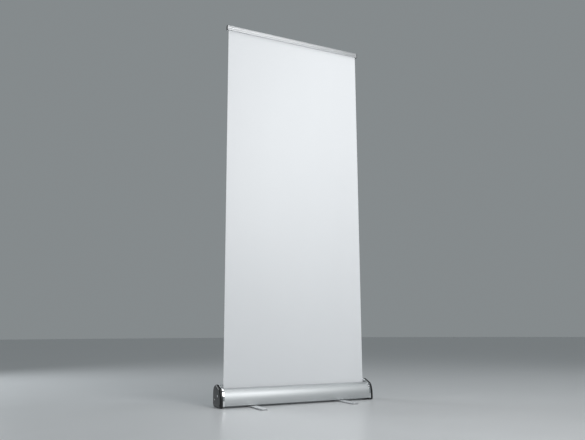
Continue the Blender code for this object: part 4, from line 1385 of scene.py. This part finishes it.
# Rail
@dataclass
class SnapRail:
    """The hinged rail that grips the graphic's top, its caps and the pole's clip."""

    plane: float
    half_depth: float = 0.0085
    wall: float = 0.0026
    bead: float = 0.0018
    bead_y: float = -0.0035
    bead_drop: float = 0.0045
    gap: float = 0.0003
    rib: Pair = (0.0020, 0.0060)
    rib_free: float = 0.0005
    groove_height: float = 0.0125
    groove: Pair = (0.0006, 0.0011)
    crown: float = 0.0004
    crown_power: int = 8
    edge: float = 0.001
    web: float = 0.55
    bead_turn: float = 146.6
    face_drop: float = 0.0008
    band_drop: float = 0.0002
    hook_turns: Pair = (95.0, -60.0)
    heel: Pair = (0.0016, 0.0006)
    clip_screw: Pair = (0.0012, 0.0015)

    def placed(self, points: Sequence[Pair]) -> list[Pair]:
        """Points measured from the graphic's plane, put in the frame."""
        return [(y + self.plane, z) for y, z in points]

    def band(self, low: float, high: float) -> list[Pair]:
        """One crowned band of the front face.

        Args:
            low: Height of its bottom.
            high: Height of its top.

        Returns:
            Its points, from the top down.
        """
        front, half, middle = -self.half_depth, (high - low) / 2, (high + low) / 2
        points = []
        for step in range(13):
            share = 1 - step / 6
            points.append((front + self.crown * share**self.crown_power, middle + half * share))
        return points

    def jaw_section(self, base: float, top: float) -> list[Pair]:
        """The hinged half's section: crowned front, groove, bead and rib.

        Args:
            base: Height of the rail's bottom.
            top: Height of its top.

        Returns:
            The closed section.
        """
        inside = -self.half_depth + self.wall
        hinge = (self.bead_y, top - self.bead_drop)
        web = self.bead * self.web
        bead = arc(hinge, (self.bead, self.bead), -self.bead_turn, self.bead_turn, 24)
        groove = base + self.groove_height
        half, depth = self.groove
        face_top = top - self.face_drop
        return self.placed([
            (inside, base),
            (inside, base + self.rib[0]),
            (-self.rib_free, base + self.rib[0]),
            (-self.rib_free, base + self.rib[1] - self.edge),
            (inside, base + self.rib[1]),
            (inside, hinge[1] - web),
            *bead,
            (inside, hinge[1] + web),
            (inside, face_top),
            *self.band(groove + half, face_top - self.band_drop),
            (-self.half_depth + depth, groove + half / 2),
            (-self.half_depth + depth, groove - half / 2),
            *self.band(base + self.band_drop, groove - half),
        ])

    def back_section(self, base: float, top: float) -> list[Pair]:
        """The fixed half's section: back wall, rib and the hook round the bead.

        Args:
            base: Height of the rail's bottom.
            top: Height of its top.

        Returns:
            The closed section.
        """
        back, wall = self.half_depth, self.wall
        hinge, seat = (self.bead_y, top - self.bead_drop), self.bead + self.gap
        hook = arc(hinge, (seat, seat), *self.hook_turns, 18)
        heel = (hinge[0] + seat + self.heel[0], hinge[1] - seat - self.heel[1])
        edge = self.edge
        return self.placed([
            (back, base),
            (back, top - edge),
            *arc((back - edge, top - edge), (edge, edge), 0, 90, 5)[1:],
            (hook[0][0], top),
            *hook,
            heel,
            (back - wall, heel[1]),
            (back - wall, base + self.rib[1]),
            (self.rib_free, base + self.rib[1] - self.edge),
            (self.rib_free, base + self.rib[0]),
            (back - wall, base + self.rib[0]),
            (back - wall, base),
        ])

    def build(self) -> None:
        """Makes the rail."""
        low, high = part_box("rail_back")
        top, section = high.z, self.back_section(low.z, high.z)
        back = extruded("rail_back_extrusion", [section], low.x, high.x)
        ease(back, FINE_EDGE, EASED_TURN)
        dress(back, "rail", RAIL_METAL, stands_for=["rail_back"])
        low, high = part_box("rail_jaw")
        jaw = extruded("rail_jaw_extrusion", [self.jaw_section(low.z, top)], low.x, high.x)
        ease(jaw, FINE_EDGE, EASED_TURN)
        dress(jaw, "jaw", RAIL_METAL, stands_for=["rail_jaw"])
        for side in SIDES:
            smooth_stand_in(f"rail_cap_{side}", "rail", FITTING_PLASTIC, CAP_EDGE)
            self.build_clip_screw(side)
        smooth_stand_in("pole_clip", "rail", FITTING_PLASTIC, SOFT_EDGE)

    def build_clip_screw(self, side: str) -> None:
        """One of the two screws through the clip's plate.

        Args:
            side: Which of them.
        """
        node = f"clip_screw_{side}"
        low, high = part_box(node)
        shank, height = self.clip_screw
        made = Screw(node, shank, (high.x - low.x) / 2, height, Drive.CROSS).build("+Y")
        dress(made, "rail", ZINC, stands_for=[node])


# Pole
@dataclass
class SectionalPole:
    """Three tubes on an elastic cord."""

    names: Sequence[str] = ("lower", "middle", "upper")
    lip: float = 0.0005
    wall: float = 0.0008
    swage: Pair = (0.0004, 0.0012)
    swage_from_top: float = 0.045
    swage_from_foot: float = 0.037

    def build_tube(self, name: str) -> None:
        """A tube with turned-in ends and a swaged line near each of them.

        Args:
            name: Which of the three.
        """
        node = f"pole_tube_{name}"
        low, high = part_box(node)
        outer, length = (high.x - low.x) / 2, high.z - low.z
        inner = outer - self.wall
        profile = [(inner, length), (outer - self.lip, length), (outer, length - self.lip)]
        for height in (length - self.swage_from_top, self.swage_from_foot):
            profile += arc((outer, height), self.swage, 90, 270, 6)
        profile += [(outer, self.lip), (outer - self.lip, 0), (inner, 0)]
        place = ((low.x + high.x) / 2, (low.y + high.y) / 2, low.z)
        tube = lathed(f"tube_{name}", profile, "+Z", place, closed=True)
        dress(tube, f"pole_{name}", TUBE_METAL, stands_for=[node])

    def build(self) -> None:
        """Makes the pole."""
        for name in self.names:
            self.build_tube(name)
        for name in self.names[:2]:
            smooth_stand_in(f"ferrule_{name}", f"pole_{name}", ZINC, FINE_EDGE)
        smooth_stand_in("pole_foot_plug", "pole_lower", FITTING_PLASTIC, EDGE)
        smooth_stand_in("pole_top_plug", "pole_upper", FITTING_PLASTIC, EDGE)
        axis = tuple(middle_of("bungee_cord").xy)
        cord = BraidedCord("braided_cord", Slot.CORD, (0.05, 0.05, 0.055), 0.85, axis=axis)
        smooth_stand_in("bungee_cord", "pole_lower", cord, sharp=WIRE_TURN)


# Studio
@dataclass(frozen=True)
class Softbox:
    """A rectangular soft light."""

    name: str
    place: Triple
    target: Triple
    size: Pair
    power: float
    colour: Triple = (1.0, 1.0, 1.0)

    def build(self) -> None:
        """Hangs the light and points it."""
        data = bpy.data.lights.new(self.name, "AREA")
        data.shape = "RECTANGLE"
        data.size, data.size_y = self.size
        data.energy = self.power
        data.color = self.colour
        lamp = bpy.data.objects.new(self.name, data)
        lamp.location = self.place
        sight = Vector(self.target) - Vector(self.place)
        lamp.rotation_euler = sight.to_track_quat("-Z", "Y").to_euler()
        lamp.visible_camera = False
        bpy.context.scene.collection.objects.link(lamp)


@dataclass
class Studio:
    """Floor, air, lights and camera."""

    camera_place: Triple = (-1.541, -3.079, 0.392)
    yaw: float = 26.09
    pitch: float = 10.19
    roll: float = -0.26
    lens: float = 37.67
    sensor: float = 36.0
    air: Triple = (0.56, 0.61, 0.63)
    air_strength: float = 0.42
    floor_size: float = 60.0
    floor_colour: Triple = (0.66, 0.67, 0.68)
    floor_gloss: Triple = (0.24, 0.26, 0.12)
    floor_shade: float = 0.93
    softboxes: Sequence[Softbox] = (
        Softbox("key_softbox", (0.45, -2.25, 1.80), (0.20, 0.0, 1.70), (1.2, 1.7), 35.0),
        Softbox("top_softbox", (0.3, -0.9, 4.2), (0.1, -0.2, 0.0), (2.4, 1.6), 26.0),
        Softbox(
            "back_softbox", (-2.2, 2.6, 2.0), (0.0, 0.0, 0.8), (1.6, 2.2), 46.0, (0.93, 0.97, 1.0)
        ),
        Softbox(
            "side_softbox", (3.4, -0.5, 2.4), (0.3, 0.0, 0.5), (1.2, 2.0), 12.0, (0.95, 0.98, 1.0)
        ),
    )

    def build_camera(self) -> None:
        """Stands the camera low and to the left of the stand."""
        data = bpy.data.cameras.new("camera")
        data.lens = self.lens
        data.sensor_width = self.sensor
        camera = bpy.data.objects.new("camera", data)
        turn = Matrix.Rotation(-math.radians(self.yaw), 4, "Z")
        tilt = Matrix.Rotation(math.radians(90 + self.pitch), 4, "X")
        spin = Matrix.Rotation(math.radians(self.roll), 4, "Z")
        camera.matrix_world = Matrix.Translation(Vector(self.camera_place)) @ turn @ tilt @ spin
        bpy.context.scene.collection.objects.link(camera)
        bpy.context.scene.camera = camera

    def build_floor(self) -> None:
        """A pale smooth floor that mirrors the stand faintly."""
        work = bmesh.new()
        bmesh.ops.create_circle(work, cap_ends=True, segments=96, radius=self.floor_size / 2)
        floor = object_from(work, "floor")
        plain, least, more = self.floor_gloss
        shader = Shader("floor_finish", self.floor_colour, plain, 0.0)
        wear = shader.clouds(shader.place, 3.0, 5.0, 0.6)
        shader.set("Roughness", least + wear * more)
        worn = shade_of(self.floor_colour, self.floor_shade)
        shader.set("Base Color", shader.blend(wear, worn, self.floor_colour))
        floor.data.materials.append(shader.material)

    def build_air(self) -> None:
        """Even pale surroundings."""
        world = bpy.data.worlds.new("studio_air")
        world.use_nodes = True
        ground = world.node_tree.nodes["Background"]
        ground.inputs["Color"].default_value = (*self.air, 1.0)
        ground.inputs["Strength"].default_value = self.air_strength
        bpy.context.scene.world = world

    def build(self) -> None:
        """Makes the studio."""
        self.build_camera()
        self.build_floor()
        self.build_air()
        for softbox in self.softboxes:
            softbox.build()
        bpy.context.scene.view_settings.view_transform = "Standard"


def main() -> None:
    """Builds the stand's sub-assemblies in order."""
    logging.basicConfig(level=logging.INFO, format="%(name)s: %(message)s")
    low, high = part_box("graphic_panel")
    plane = (low.y + high.y) / 2
    line = CassetteLine(plane)
    Studio().build()
    Cassette(line).build()
    for side in SIDES:
        EndFitting(side, line).build()
        SwivelFoot(side).build()
    SpringRoller().build()
    Graphic().build()
    SnapRail(plane).build()
    SectionalPole().build()


if __name__ == "__main__":
    main()
